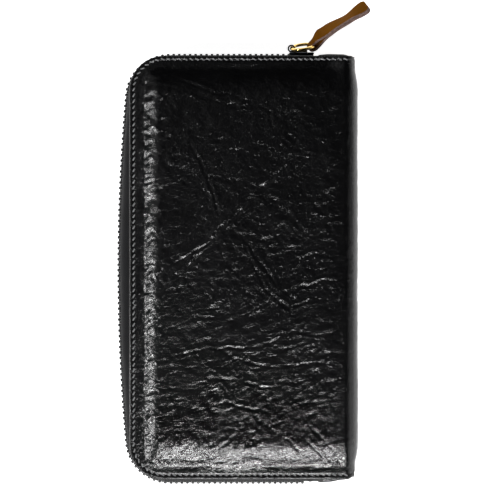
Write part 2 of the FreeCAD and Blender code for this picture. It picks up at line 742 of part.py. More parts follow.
def coin_zip(side):
    """Tape and teeth of the coin zip, in the plane of the pocket's mouth."""
    thickness = size("panel_thickness")
    edge = size("coin_tape_edge")
    top = size("pocket_level") + thickness
    half = size("coin_tape_half")
    mouth = -size("pocket_left")
    tape = keep(doc.addObject("Part::Feature", "coin_zip_tape_" + side), "coin_zip_tape_" + side)
    tape.Shape = Part.makeBox(thickness, 2 * half, top - edge, Vector(mouth - thickness, -half, edge))
    turn_half(tape, side)
    tooth = clamp(
        size("coin_tooth_length"),
        size("coin_tooth_depth"),
        size("coin_tooth_low"),
        size("coin_tooth_high"),
        edge,
        thickness,
    )
    tooth.rotate(Vector(0, 0, 0), Vector(0, 0, 1), 90)
    pitch = size("coin_pitch")
    way = 1 if side == "front" else -1
    count = int((half - size("coin_teeth_gap") + size("coin_teeth_top")) / pitch)
    teeth = []
    for number in range(count):
        y = size("coin_teeth_top") - number * pitch - (0 if side == "front" else pitch / 2)
        placed = tooth.copy()
        placed.translate(Vector(mouth - thickness / 2, way * y, 0))
        teeth.append(placed)
    row = keep(doc.addObject("Part::Feature", "coin_zip_teeth_" + side), "coin_zip_teeth_" + side)
    row.Shape = Part.makeCompound(teeth)
    turn_half(row, side)


def coin_slider():
    """Slider of the coin zip, smaller and without rims."""
    low, high = levels("sizes.coin_slider_half")
    wedge_low, wedge_high = levels("sizes.coin_wedge_half")
    leg_low, leg_high = levels("sizes.coin_bridge_half")
    near, far = "sizes.coin_plate_gap / 2", "(sizes.coin_plate_gap / 2 + sizes.coin_plate_wall)"
    start, end = "sizes.coin_slider_low", "sizes.coin_slider_high"
    post = f"{COIN_MIDDLE} - sizes.coin_post_reach"
    radius = "sizes.coin_bridge_radius"
    leg_start, leg_end = f"{COIN_POST_Y} - {radius}", f"{COIN_POST_Y} + {radius}"
    wedge_start, wedge_end = "sizes.coin_wedge_low", "sizes.coin_wedge_high"
    outer, inner = f"{COIN_MIDDLE} - {near}", f"{COIN_MIDDLE} + {near}"
    back, front = f"{COIN_MIDDLE} - {far}", f"{COIN_MIDDLE} + {far}"
    pieces = [
        block("coin_plate_outer", (back, start, low), (outer, end, high)),
        block("coin_plate_inner", (inner, start, low), (front, end, high)),
        block("coin_wedge", (outer, wedge_start, wedge_low), (inner, wedge_end, wedge_high)),
        block("coin_leg", (post, leg_start, leg_low), (back, leg_end, leg_high)),
        upright_cylinder("coin_bridge", post, COIN_POST_Y, radius, "sizes.coin_bridge_half"),
    ]
    hole = upright_cylinder("coin_hole", post, COIN_POST_Y, "sizes.coin_hole", "sizes.coin_slider_half")
    return keep(cut("coin_zip_slider", fuse("coin_slider_solid", pieces), hole), "coin_zip_slider")


def coin_pull():
    """Metal pull of the coin zip: a pin through the bridge, two arms and a flat grip."""
    post = f"{COIN_MIDDLE} - sizes.coin_post_reach"
    near, far = f"{post} - sizes.coin_pull_wall / 2", f"{post} + sizes.coin_pull_wall / 2"
    low, high = levels("sizes.coin_pull_half")
    arm_low, arm_high = levels("sizes.coin_arm_inner")
    grip = (far, "sizes.coin_grip_high", high)
    pieces = [
        upright_cylinder("coin_pull_pin", post, COIN_POST_Y, "sizes.coin_pin", "sizes.coin_pull_half"),
        block("coin_pull_grip", (near, "sizes.coin_pull_tip", low), grip),
    ]
    for place, bottom, top in (("low", low, arm_low), ("high", arm_high, high)):
        arm = block("coin_pull_arm_" + place, (near, "sizes.coin_arm_low", bottom), (far, COIN_POST_Y, top))
        pieces.append(arm)
    return keep(fuse("coin_zip_pull", pieces), "coin_zip_pull")


# ---------------------------------------------------------------- the whole wallet


def build():
    """Make every piece of the wallet."""
    fill_sheet()
    for side in ("back", "front"):
        cover_leather(side)
        cover_core(side)
        card_strips(side)
        zip_tape(side)
        zip_teeth(side)
        zip_stops(side)
        gusset(side, "top", 1 if side == "front" else -1)
        gusset(side, "bottom", -1 if side == "front" else 1)
        coin_zip(side)
    coin_pocket()
    spine()
    zip_end_tabs()
    main_slider()
    pull_ring()
    pull_tab()
    coin_slider()
    coin_pull()
    doc.recompute()


def export():
    """Check every object, then write one STEP file for each piece."""
    for obj in doc.Objects:
        if "Invalid" in obj.State or "Error" in obj.State:
            raise RuntimeError(f"{obj.Name} failed: {obj.State}")
    for node in nodes:
        if node.Shape.isNull() or not node.Shape.isValid() or not node.Shape.Solids:
            raise RuntimeError(node.Label + " has no valid solid")
    os.makedirs("parts", exist_ok=True)
    for node in nodes:
        node.Shape.exportStep(f"parts/{node.Label}.step")
        box = node.Shape.BoundBox
        spans = ((box.XMin, box.XMax), (box.YMin, box.YMax), (box.ZMin, box.ZMax))
        print(node.Label, len(node.Shape.Solids), [f"{low:.1f} {high:.1f}" for low, high in spans])


build()
export()
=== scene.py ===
"""The looks of a zip around wallet, closed and lying on its back cover.

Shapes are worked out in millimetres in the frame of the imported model, and turned into metres
when an object is made. +X points to the spine, +Y to the end where the zip closes, +Z up.
"""
import math

import bmesh
import bpy
import numpy as np
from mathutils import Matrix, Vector


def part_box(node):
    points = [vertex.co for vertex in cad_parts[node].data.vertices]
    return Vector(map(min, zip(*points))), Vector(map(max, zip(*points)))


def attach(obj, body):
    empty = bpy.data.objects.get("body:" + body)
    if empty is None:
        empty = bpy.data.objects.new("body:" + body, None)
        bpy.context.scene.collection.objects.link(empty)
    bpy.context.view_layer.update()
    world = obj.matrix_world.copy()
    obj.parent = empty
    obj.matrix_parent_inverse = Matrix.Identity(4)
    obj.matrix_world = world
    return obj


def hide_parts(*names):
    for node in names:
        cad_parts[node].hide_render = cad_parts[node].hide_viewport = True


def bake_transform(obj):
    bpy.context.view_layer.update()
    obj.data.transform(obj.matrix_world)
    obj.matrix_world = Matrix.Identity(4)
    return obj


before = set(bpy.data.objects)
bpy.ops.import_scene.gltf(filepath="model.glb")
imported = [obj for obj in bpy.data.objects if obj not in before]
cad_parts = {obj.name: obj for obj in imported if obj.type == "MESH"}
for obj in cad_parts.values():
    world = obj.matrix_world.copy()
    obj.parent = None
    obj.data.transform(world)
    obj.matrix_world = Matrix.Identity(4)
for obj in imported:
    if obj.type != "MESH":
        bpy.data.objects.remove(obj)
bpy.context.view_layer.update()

MM = 0.001


def cad(node):
    """Lowest and highest corner of a CAD node in millimetres."""
    low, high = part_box(node)
    return np.array(low) / MM, np.array(high) / MM


cover_low, cover_high = cad("front_cover_leather")
tape_low, tape_high = cad("front_zip_tape")
BACK_BOTTOM = cad("back_cover_leather")[0][2]

# the closed wallet: half its length, its sewn side, front, middle plane and spine
HALF = cover_high[1]
LEFT = cover_low[0]
TOP = cover_high[2]
MIDDLE = TOP / 2
RIGHT = cad("spine_leather")[1][0]

# the outer leather
SKIN = 1.1
CORNER = 16.0  # radius of the sewn corners
SPINE_ROLL = 6.5  # radius at which the cover turns down into the spine
SPINE_ZONE = (38, 48)  # where the cover passes into the spine, along X
END_ROUND_LOW = 4.5  # radii of the spine's lower and upper end
END_ROUND_HIGH = 2.3
EDGE_DROP = 2.2  # how far the sewn edge lies below the padded panel
SIDE_SHOULDER = (6.4, 14.2)  # where the panel rises, inward from the sewn side
END_SHOULDER = (5.0, 18.0)  # and inward from the ends
FRONT_SHIFT = 0.65  # how much nearer the top end the front cover lies
SEEDS = {"front": 11, "back": 211}

STITCH_INSET = 2.1
STITCH_PITCH = 2.6

# the main zip, whose line follows the middle of the tape
TOOTH_PITCH = 2.5
TAPE_HALF = tape_high[1] - 0.25
TAPE_LEFT = -tape_low[0] - 0.25
TAPE_END = tape_high[0]
TAPE_CORNER = 19.0  # radius of its corners
TAPE_BOW = 900.0  # radius of the bowed side

# the pull ring and the slider's eye that it hangs in
RING_HEADING = math.radians(8)
RING_LEAN = math.radians(14)
RING_POST = np.array([21.9, 100.6, MIDDLE])
RING_RADIUS = 5.15
RING_WIRE = 0.75

# the strap: its length, one ply, its widths at the tip and the ring, and where the plies meet
TAB_LENGTH = 30.5
TAB_HEADING = math.radians(36)
TAB_PLY = 1.05
TAB_WIDTH = 9.0
TAB_NECK = 3.8
TAB_MERGE = 7.5

# the coin zip's line and the post of its pull
COIN_LINE = -28.25
COIN_POST = (-31.7, 70.0)
COIN_TEETH = 71
COIN_PITCH = 2.0

CAMERA_HEIGHT = 3.2
CAMERA_PLACE = (0.0007, 0.0109)
PICTURE_WIDTH = 0.2228


# ---------------------------------------------------------------- meshes


def thirds(count):
    """The next count that is one more than a multiple of three."""
    return 3 * math.ceil((count - 1) / 3) + 1


def make(name, verts, faces, material, uv=None, smooth=True, sharp=55):
    """A mesh object from points in millimetres."""
    mesh = bpy.data.meshes.new(name)
    mesh.from_pydata((np.asarray(verts) * MM).tolist(), [], [list(map(int, face)) for face in faces])
    mesh.validate()
    if uv is not None:
        layer = mesh.uv_layers.new(name="along")
        loops = np.zeros(len(mesh.loops), int)
        mesh.loops.foreach_get("vertex_index", loops)
        layer.data.foreach_set("uv", np.asarray(uv, np.float32)[loops].ravel())
    if smooth:
        mesh.shade_smooth()
        mesh.set_sharp_from_angle(angle=math.radians(sharp))
    mesh.materials.append(material)
    obj = bpy.data.objects.new(name, mesh)
    bpy.context.scene.collection.objects.link(obj)
    return obj


def grid_faces(rows, cols, start=0, close_rows=False, close_cols=False, flip=False):
    """Quads of a grid of points, rows by cols, that may close on itself either way."""
    last_row = rows if close_rows else rows - 1
    last_col = cols if close_cols else cols - 1
    j, i = np.meshgrid(np.arange(last_row), np.arange(last_col), indexing="ij")
    j, i = j.ravel(), i.ravel()
    right, up = (i + 1) % cols, (j + 1) % rows
    quads = np.stack([j * cols + i, j * cols + right, up * cols + right, up * cols + i], 1) + start
    return quads[:, ::-1] if flip else quads


def ring_faces(count, sides, flip=False):
    """Quads between rings of points, and a face over each end."""
    way = -1 if flip else 1
    first = list(range(sides))
    last = [(count - 1) * sides + k for k in first]
    quads = grid_faces(count, sides, close_cols=True, flip=flip).tolist()
    return quads + [first[::-way], last[::way]]


def grid_rim(rows, cols):
    """Indices round the border of a grid of points."""
    right, top = cols - 1, rows - 1
    ring = [(0, i) for i in range(right)] + [(j, right) for j in range(top)]
    return ring + [(top, i) for i in range(right, 0, -1)] + [(j, 0) for j in range(top, 0, -1)]


def corner_retreat(inward, radius):
    """How far a rounded corner draws an edge in, by the distance from the end."""
    inward = np.minimum(inward, radius)
    return radius - np.sqrt(np.maximum(radius**2 - (radius - inward) ** 2, 0))


def closed_shell(upper, lower, skip=1):
    """One closed surface from two grids; the lower one keeps every so many points of the upper one."""
    rows, cols = upper.shape[:2]
    lower = lower[::skip, ::skip]
    count = rows * cols
    low_rows, low_cols = lower.shape[:2]
    verts = np.concatenate([upper.reshape(-1, 3), lower.reshape(-1, 3)])
    faces = grid_faces(rows, cols).tolist()
    faces += grid_faces(low_rows, low_cols, start=count, flip=True).tolist()
    body = len(faces)
    fine = [j * cols + i for j, i in grid_rim(rows, cols)]
    coarse = [count + j * low_cols + i for j, i in grid_rim(low_rows, low_cols)]
    for number, low_point in enumerate(coarse):
        start = number * skip
        span = [fine[(start + k) % len(fine)] for k in range(skip + 1)]
        after = coarse[(number + 1) % len(coarse)]
        faces.append(span[::-1] + [low_point, after])
    return verts, faces, body


def turned_over(side, *layers):
    """The layers as they are for the front half, or turned over for the back half."""
    if side == "front":
        return layers
    return [layer[::-1] * (1, 1, -1) + (0, 0, 2 * MIDDLE) for layer in layers]


def settle(obj, node, body):
    """Hide the CAD node a piece stands in for, and attach the piece to the body it rides on."""
    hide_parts(node)
    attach(obj, body)


def join(name, pieces, material, sharp=55):
    """One object from several (verts, faces) pairs."""
    verts, faces, start = [], [], 0
    for points, quads in pieces:
        verts.append(np.asarray(points, float))
        faces += [[int(v) + start for v in face] for face in quads]
        start += len(points)
    return make(name, np.concatenate(verts), faces, material, sharp=sharp)


def block_shape(size, bevel, segments=2):
    """Points and faces of a bevelled block centred on the origin."""
    bm = bmesh.new()
    bmesh.ops.create_cube(bm, size=1)
    bmesh.ops.scale(bm, vec=Vector(size), verts=bm.verts)
    shape = {"segments": segments, "profile": 0.5, "affect": "EDGES", "clamp_overlap": True}
    bmesh.ops.bevel(bm, geom=bm.edges[:], offset=bevel, **shape)
    verts = np.array([v.co for v in bm.verts])
    faces = [[v.index for v in f.verts] for f in bm.faces]
    bm.free()
    return verts, faces


def tube(path, radius, sides=12, closed=False, up=(0, 0, 1)):
    """Points and faces of a round tube along a path; radius may change along it."""
    path = np.asarray(path, float)
    count = len(path)
    tangent = np.gradient(path, axis=0)
    if closed:
        tangent = np.roll(path, -1, 0) - np.roll(path, 1, 0)
    tangent /= np.linalg.norm(tangent, axis=1)[:, None]
    across = np.cross(tangent, np.asarray(up, float))
    across /= np.linalg.norm(across, axis=1)[:, None] + 1e-12
    third = np.cross(across, tangent)
    radius = np.broadcast_to(radius, (count,))[:, None, None]
    turn = np.linspace(0, 2 * math.pi, sides, endpoint=False)[None, :, None]
    verts = path[:, None] + radius * (across[:, None] * np.cos(turn) + third[:, None] * np.sin(turn))
    if closed:
        return verts.reshape(-1, 3), grid_faces(count, sides, close_rows=True, close_cols=True)
    return verts.reshape(-1, 3), ring_faces(count, sides)


def moved(shape, offset):
    """A shape moved by an offset."""
    verts, faces = shape
    return np.asarray(verts) + np.asarray(offset, float), faces


def placed(shape, spot, along):
    """A shape at a spot, turned about Z so that its X points along a direction."""
    verts, faces = shape
    turned = np.array(verts, float)
    turned[:, 0] = verts[:, 0] * along[0] - verts[:, 1] * along[1]
    turned[:, 1] = verts[:, 0] * along[1] + verts[:, 1] * along[0]
    return turned + np.asarray(spot, float), faces


def mirrored(side, shape):
    """A shape as it is for the front half, or mirrored in the middle plane for the back half."""
    verts, faces = shape
    if side == "front":
        return shape
    return verts * (1, 1, -1) + (0, 0, 2 * MIDDLE), [face[::-1] for face in faces]


def block_at(place, size, bevel, segments=2):
    """A bevelled block at a place."""
    return moved(block_shape(size, bevel, segments), place)


def second_material(obj, material, index):
    """Give an object a second material on the faces whose index is 1."""
    obj.data.materials.append(material)
    obj.data.polygons.foreach_set("material_index", index)


def eye_shape(post, profile, sides):
    """A slider's eye: a profile of (radius, level) points turned about the pull's post."""
    turns = np.linspace(0, 2 * math.pi, sides, endpoint=False)
    loop = [[(r * math.cos(t), r * math.sin(t), z) for r, z in profile] for t in turns]
    faces = grid_faces(sides, len(profile), close_rows=True, close_cols=True).tolist()
    return np.array(loop).reshape(-1, 3) + post, faces


def eye_profile(hole, outside, half, bevel=0.15):
    """The section of an eye, with bevelled rims."""
    low, high, level = hole + bevel, outside - bevel, half - bevel
    inner = [(hole, -level), (hole, level), (low, half), (high, half)]
    return inner + [(outside, level), (outside, -level), (high, -half), (low, -half)]


# ---------------------------------------------------------------- fields on the leather


def value_noise(x, y, seed):
    """Smooth noise from -1 to 1 on a unit lattice."""
    table = np.random.default_rng(seed).uniform(-1, 1, (97, 97))
    xi, yi = np.floor(x).astype(int), np.floor(y).astype(int)
    fx, fy = x - xi, y - yi
    fx, fy = fx * fx * (3 - 2 * fx), fy * fy * (3 - 2 * fy)
    a, b = table[xi % 97, yi % 97], table[(xi + 1) % 97, yi % 97]
    c, d = table[xi % 97, (yi + 1) % 97], table[(xi + 1) % 97, (yi + 1) % 97]
    return (a * (1 - fx) + b * fx) * (1 - fy) + (c * (1 - fx) + d * fx) * fy


def smooth_step(low, high, value):
    """0 below low, 1 above high, smooth between."""
    t = np.clip((value - low) / (high - low), 0, 1)
    return t * t * (3 - 2 * t)


def spine_share(x):
    """How far a place belongs to the spine, from 0 to 1."""
    return smooth_step(*SPINE_ZONE, x)


def wrinkle_layer(x, y, angle, length, width, seed):
    """Ridged noise drawn out along one direction, from -1 to 1."""
    turn = math.radians(angle)
    wander = 2.2 * value_noise(x / 17, y / 17, seed + 50)
    along = x * math.cos(turn) + y * math.sin(turn) + wander
    across = y * math.cos(turn) - x * math.sin(turn) + wander
    return 1 - 2 * np.abs(value_noise(along / length, across / width, seed))


def distance_to_line(x, y, points):
    """Distance from each place to a line through a few points, and how far along it that is, 0 to 1."""
    best = np.full(x.shape, 1e9)
    share = np.zeros(x.shape)
    points = np.asarray(points, float)
    for number in range(len(points) - 1):
        a, b = points[number], points[number + 1]
        d = b - a
        t = np.clip(((x - a[0]) * d[0] + (y - a[1]) * d[1]) / (d @ d), 0, 1)
        gap = np.hypot(x - a[0] - t * d[0], y - a[1] - t * d[1])
        nearer = gap < best
        best = np.where(nearer, gap, best)
        share = np.where(nearer, (number + t) / (len(points) - 1), share)
    return best, share


# long creases across the front, each a few points and a depth
CREASES = [
    ([(-39, -4), (-20, 8), (-6, 22), (8, 37), (20, 46)], 0.30),
    ([(-36, -9), (-22, 2), (-10, 16), (2, 29)], 0.20),
    ([(-25, 58), (-19, 46), (-13, 32), (-10, 22)], 0.18),
    ([(-30, 46), (-16, 58), (-4, 60)], 0.12),
    ([(0, 14), (8, 2), (15, -8), (24, -15)], 0.22),
    ([(-2, 20), (3, 4), (10, -10), (22, -20)], 0.16),
    ([(14, 8), (26, 10), (34, 16), (41, 22)], 0.20),
    ([(18, -3), (28, 4), (41, 8)], 0.18),
    ([(16, -12), (27, -8), (41, -6)], 0.22),
    ([(18, -18), (30, -15), (41, -15)], 0.20),
    ([(-34, 88), (-20, 82), (-6, 78), (6, 76)], 0.16),
    ([(-26, 80), (-8, 74), (8, 74), (20, 66)], 0.14),
    ([(10, 80), (14, 62), (22, 54), (38, 50)], 0.12),
    ([(-38, -30), (-22, -22), (-4, -24), (14, -14)], 0.16),
    ([(-36, -42), (-18, -36), (0, -38), (24, -30), (41, -30)], 0.18),
    ([(-20, -30), (-4, -42), (16, -46), (38, -42)], 0.14),
    ([(-36, -56), (-14, -50), (8, -54), (36, -50)], 0.16),
    ([(-30, -66), (-8, -62), (14, -66), (38, -60)], 0.14),
    ([(26, -76), (34, -84), (42, -92)], 0.22),
    ([(30, -72), (38, -80), (46, -88)], 0.20),
    ([(20, -78), (28, -86), (34, -92)], 0.16),
]


def wrinkles(x, y, inset, seed):
    """Height of the wrinkles in millimetres at each place on a cover."""
    low_half = smooth_step(35, -35, y)
    patch = 0.35 + 0.65 * smooth_step(-0.5, 0.5, value_noise(x / 16, y / 16, seed + 7))
    other = 0.35 + 0.65 * smooth_step(-0.5, 0.5, value_noise(x / 21, y / 21, seed + 17))
    height = 0.070 * (0.4 + 0.6 * low_half) * patch * wrinkle_layer(x, y, 9, 8, 2.3, seed + 1)
    height += 0.066 * (0.6 + 0.4 * low_half) * other * wrinkle_layer(x, y, 20, 6, 1.6, seed + 2)
    height += 0.070 * (1 - low_half) * other * wrinkle_layer(x, y, -14, 7, 2.1, seed + 3)
    height += 0.070 * patch * wrinkle_layer(x, y, 42, 8, 2.5, seed + 4)
    height += 0.065 * other * wrinkle_layer(x, y, -52, 8, 2.6, seed + 5)
    height += 0.028 * wrinkle_layer(x, y, 3, 2.6, 1.15, seed + 6)
    height += 0.024 * wrinkle_layer(x, y, 62, 2.8, 1.25, seed + 16)
    slope = smooth_step(4.5, 7.5, inset) * smooth_step(16.5, 11, inset) * smooth_step(-32, -38, x)
    for angle, way in ((40.0, 1), (-38.0, -1)):
        part = smooth_step(-1, 1, way * np.sin((y + 6 * value_noise(y / 9, y / 9, seed + 30)) / 2.1 + way))
        height += 0.17 * slope * part * wrinkle_layer(x, y, angle, 4.2, 1.8, seed + 8 + way)
    height += 0.16 * value_noise(x / 31, y / 31, seed + 10) + 0.07 * value_noise(x / 11, y / 11, seed + 11)
    return height


def creases(x, y, mirror):
    """Depth of the long creases, each a groove with soft shoulders."""
    height = np.zeros(x.shape)
    place = -y if mirror else y
    wander = 1.1 * value_noise(x / 6, place / 6, 400) + 0.4 * value_noise(x / 2.2, place / 2.2, 401)
    for points, depth in CREASES:
        gap, share = distance_to_line(x + wander, place - wander, points)
        fade = np.sin(math.pi * np.clip(share * 0.9 + 0.05, 0, 1)) ** 0.6
        broken = 0.55 + 0.45 * value_noise(x / 4, place / 4, int(depth * 1000) + len(points))
        groove = -np.exp(-((gap / 0.6) ** 2)) + 0.5 * np.exp(-(((gap - 1.25) / 0.6) ** 2))
        height += 1.1 * depth * fade * broken * groove
    return height


# ---------------------------------------------------------------- outlines


def cover_inset(x, y):
    """Distance inward from the cover's sewn edge, measured to the three sewn sides."""
    across, along = x - LEFT, HALF - np.abs(y)
    corner = (across < CORNER) & (along < CORNER)
    rounded = CORNER - np.hypot(CORNER - across, CORNER - along)
    return np.where(corner, rounded, np.minimum(across, along))


def outline_points(inset, step, end):
    """Places and outward normals along the sewn edge at an inset, from the top end to the bottom."""
    radius = CORNER - inset
    left, top = LEFT + inset, HALF - inset
    straight = end - (left + radius)
    bend = radius * math.pi / 2
    side = 2 * (top - radius)
    total = 2 * straight + 2 * bend + side
    count = int(round(total / step))
    places = []
    for number in range(count + 1):
        s = number * total / count
        mirror = s > total / 2
        s = min(s, total - s)
        if s < straight:
            point, normal = (end - s, top), (0.0, 1.0)
        elif s < straight + bend:
            turn = (s - straight) / radius
            normal = (-math.sin(turn), math.cos(turn))
            point = (left + radius + radius * normal[0], top - radius + radius * normal[1])
        else:
            point, normal = (left, top - radius - (s - straight - bend)), (-1.0, 0.0)
        flip = -1 if mirror else 1
        places.append((point[0], flip * point[1], normal[0], flip * normal[1]))
    return np.array(places)


def zip_geometry():
    """Centres and angle that join the zip's straight runs, corners and bowed side."""
    bow_x = TAPE_BOW - TAPE_LEFT
    corner_y = TAPE_HALF - TAPE_CORNER
    corner_x = bow_x - math.sqrt((TAPE_BOW - TAPE_CORNER) ** 2 - corner_y**2)
    angle = math.asin(corner_y / (TAPE_BOW - TAPE_CORNER))
    return bow_x, corner_x, corner_y, angle


def zip_place(distance):
    """Place and outward normal on the zip's line, by the distance from the middle of the bowed side."""
    bow_x, corner_x, corner_y, angle = zip_geometry()
    along, side = abs(distance), math.copysign(1, distance)
    if along < TAPE_BOW * angle:
        turn = along / TAPE_BOW
        point = bow_x - TAPE_BOW * math.cos(turn), TAPE_BOW * math.sin(turn)
    else:
        turn = min(angle + (along - TAPE_BOW * angle) / TAPE_CORNER, math.pi / 2)
        straight = max(0, along - TAPE_BOW * angle - TAPE_CORNER * (math.pi / 2 - angle))
        point = corner_x - TAPE_CORNER * math.cos(turn) + straight, corner_y + TAPE_CORNER * math.sin(turn)
    return point[0], side * point[1], -math.cos(turn), side * math.sin(turn)


def zip_reach(x):
    """Distance along the zip from the middle of the bowed side to a place on a straight run."""
    _, corner_x, _, angle = zip_geometry()
    return TAPE_BOW * angle + TAPE_CORNER * (math.pi / 2 - angle) + x - corner_x


# ---------------------------------------------------------------- materials


def new_material(name, colour, roughness, **sockets):
    """A material with a Principled shader whose plain values are set on its own sockets."""
    material = bpy.data.materials.new(name)
    material.use_nodes = True
    shader = material.node_tree.nodes["Principled BSDF"]
    shader.inputs["Base Color"].default_value = (*colour, 1)
    shader.inputs["Roughness"].default_value = roughness
    for socket, value in sockets.items():
        shader.inputs[socket.replace("_", " ")].default_value = value
    return material, material.node_tree.nodes, material.node_tree.links, shader


def add_node(nodes, kind, **values):
    """A shader node with some of its inputs or settings given."""
    node = nodes.new(kind)
    for name, value in values.items():
        socket = name.replace("_", " ")
        if socket in node.inputs:
            node.inputs[socket].default_value = value
        else:
            setattr(node, name, value)
    return node


def noise(nodes, links, where, scale, detail, **values):
    """A noise texture at some coordinates."""
    node = add_node(nodes, "ShaderNodeTexNoise", Scale=scale, Detail=detail, **values)
    links.new(where, node.inputs["Vector"])
    return node.outputs["Fac"]


def coordinates(nodes, links, scale, use_uv=False):
    """Object coordinates, or the mesh's own, stretched by a scale."""
    source = add_node(nodes, "ShaderNodeTexCoord")
    mapping = add_node(nodes, "ShaderNodeMapping", Scale=scale)
    links.new(source.outputs["UV" if use_uv else "Object"], mapping.inputs["Vector"])
    return mapping.outputs["Vector"]


def ramp(nodes, links, source, stops):
    """A colour ramp through (position, colour) stops."""
    node = add_node(nodes, "ShaderNodeValToRGB")
    while len(node.color_ramp.elements) < len(stops):
        node.color_ramp.elements.new(0.5)
    for element, (position, colour) in zip(node.color_ramp.elements, stops):
        element.position = position
        element.color = (*colour, 1)
    links.new(source, node.inputs["Fac"])
    return node.outputs["Color"]


def bump(nodes, links, height, strength, distance, normal=None):
    """A bump node fed by a height."""
    node = add_node(nodes, "ShaderNodeBump", Strength=strength, Distance=distance)
    links.new(height, node.inputs["Height"])
    if normal is not None:
        links.new(normal, node.inputs["Normal"])
    return node.outputs["Normal"]


def remap(nodes, links, source, low, high):
    """Turn 0..1 into low..high."""
    node = add_node(nodes, "ShaderNodeMapRange", To_Min=low, To_Max=high)
    links.new(source, node.inputs["Value"])
    return node.outputs["Result"]


def leather_material(name, dark, light, roughness, grain=0.0011, depth=0.00012, gloss=0.25, ior=1.5):
    """Leather: crackled grain, pores and fine wrinkles in the bump, gloss broken up by the same noise."""
    values = {"Specular_IOR_Level": gloss, "IOR": ior}
    material, nodes, links, shader = new_material(name, dark, roughness[0], **values)
    where = coordinates(nodes, links, (1, 1, 1))
    cells = add_node(nodes, "ShaderNodeTexVoronoi", feature="DISTANCE_TO_EDGE", Scale=1 / grain)
    warp = add_node(nodes, "ShaderNodeTexNoise", Scale=420, Detail=3)
    links.new(where, warp.inputs["Vector"])
    mixed = add_node(nodes, "ShaderNodeMix", data_type="VECTOR", Factor=0.0012)
    links.new(where, mixed.inputs[4])
    links.new(warp.outputs["Color"], mixed.inputs[5])
    links.new(mixed.outputs[1], cells.inputs["Vector"])
    fine = noise(nodes, links, where, 900, 6, Roughness=0.65)
    broad = noise(nodes, links, where, 55, 4)
    crackle = noise(nodes, links, where, 0.28 / grain, 3, Distortion=1.6)
    lines = [(0.42, (1, 1, 1)), (0.5, (0, 0, 0)), (0.58, (1, 1, 1))]
    flat_cells = ramp(nodes, links, cells.outputs["Distance"], [(0.0, (0, 0, 0)), (0.16, (1, 1, 1))])
    first = bump(nodes, links, flat_cells, 0.5, depth * 0.6)
    second = bump(nodes, links, fine, 0.6, depth, first)
    third = bump(nodes, links, ramp(nodes, links, crackle, lines), 0.5, depth * 0.7, second)
    links.new(third, shader.inputs["Normal"])
    colour = ramp(nodes, links, broad, [(0.3, dark), (0.7, light)])
    links.new(colour, shader.inputs["Base Color"])
    links.new(remap(nodes, links, fine, *roughness), shader.inputs["Roughness"])
    return material


def woven_material(name, dark, light, pitch, roughness=0.85, use_uv=True, sheen=0.25):
    """Twill: slanted threads in two directions, in the colour and the bump."""
    values = {"Specular_IOR_Level": 0.2, "Sheen_Weight": sheen, "Sheen_Roughness": 0.4}
    material, nodes, links, shader = new_material(name, dark, roughness, **values)
    where = coordinates(nodes, links, (1, 1, 1), use_uv)
    heights = []
    for turn in (0.6, -0.9):
        mapping = add_node(nodes, "ShaderNodeMapping", Rotation=(0, 0, turn))
        links.new(where, mapping.inputs["Vector"])
        wave = add_node(nodes, "ShaderNodeTexWave", bands_direction="X", Distortion=0.6, Detail=1)
        wave.inputs["Scale"].default_value = 0.3142 / pitch
        links.new(mapping.outputs["Vector"], wave.inputs["Vector"])
        heights.append(wave.outputs["Fac"])
    both = add_node(nodes, "ShaderNodeMath", operation="MULTIPLY")
    links.new(heights[0], both.inputs[0])
    links.new(heights[1], both.inputs[1])
    links.new(ramp(nodes, links, both.outputs[0], [(0.0, dark), (0.8, light)]), shader.inputs["Base Color"])
    links.new(bump(nodes, links, both.outputs[0], 0.7, 0.00025), shader.inputs["Normal"])
    return material


def metal_material(name, colour, roughness, scratch=0.02):
    """Plated metal with faint scratches in its gloss."""
    material, nodes, links, shader = new_material(name, colour, roughness, Metallic=1.0)
    where = coordinates(nodes, links, (1, 1, 6))
    scratches = noise(nodes, links, where, 700, 5)
    gloss = remap(nodes, links, scratches, roughness * 0.6, roughness * 1.5)
    links.new(gloss, shader.inputs["Roughness"])
    links.new(bump(nodes, links, scratches, scratch, 0.0001), shader.inputs["Normal"])
    return material


def thread_material(name, dark, light):
    """Twisted thread."""
    material, nodes, links, shader = new_material(name, dark, 0.55)
    where = coordinates(nodes, links, (1, 1, 1))
    wave = add_node(nodes, "ShaderNodeTexWave", bands_direction="DIAGONAL", Scale=1100)
    links.new(where, wave.inputs["Vector"])
    colour = ramp(nodes, links, wave.outputs["Fac"], [(0.1, dark), (0.9, light)])
    links.new(colour, shader.inputs["Base Color"])
    links.new(bump(nodes, links, wave.outputs["Fac"], 0.5, 0.0001), shader.inputs["Normal"])
    return material


def edge_material(name, dark, light, scale, roughness):
    """A cut or painted edge with layers running along it."""
    material, nodes, links, shader = new_material(name, dark, roughness)
    where = coordinates(nodes, links, (1, 1, 4))
    layers = noise(nodes, links, where, scale, 5)
    links.new(ramp(nodes, links, layers, [(0.3, dark), (0.7, light)]), shader.inputs["Base Color"])
    links.new(bump(nodes, links, layers, 0.3, 0.0001), shader.inputs["Normal"])
    return material


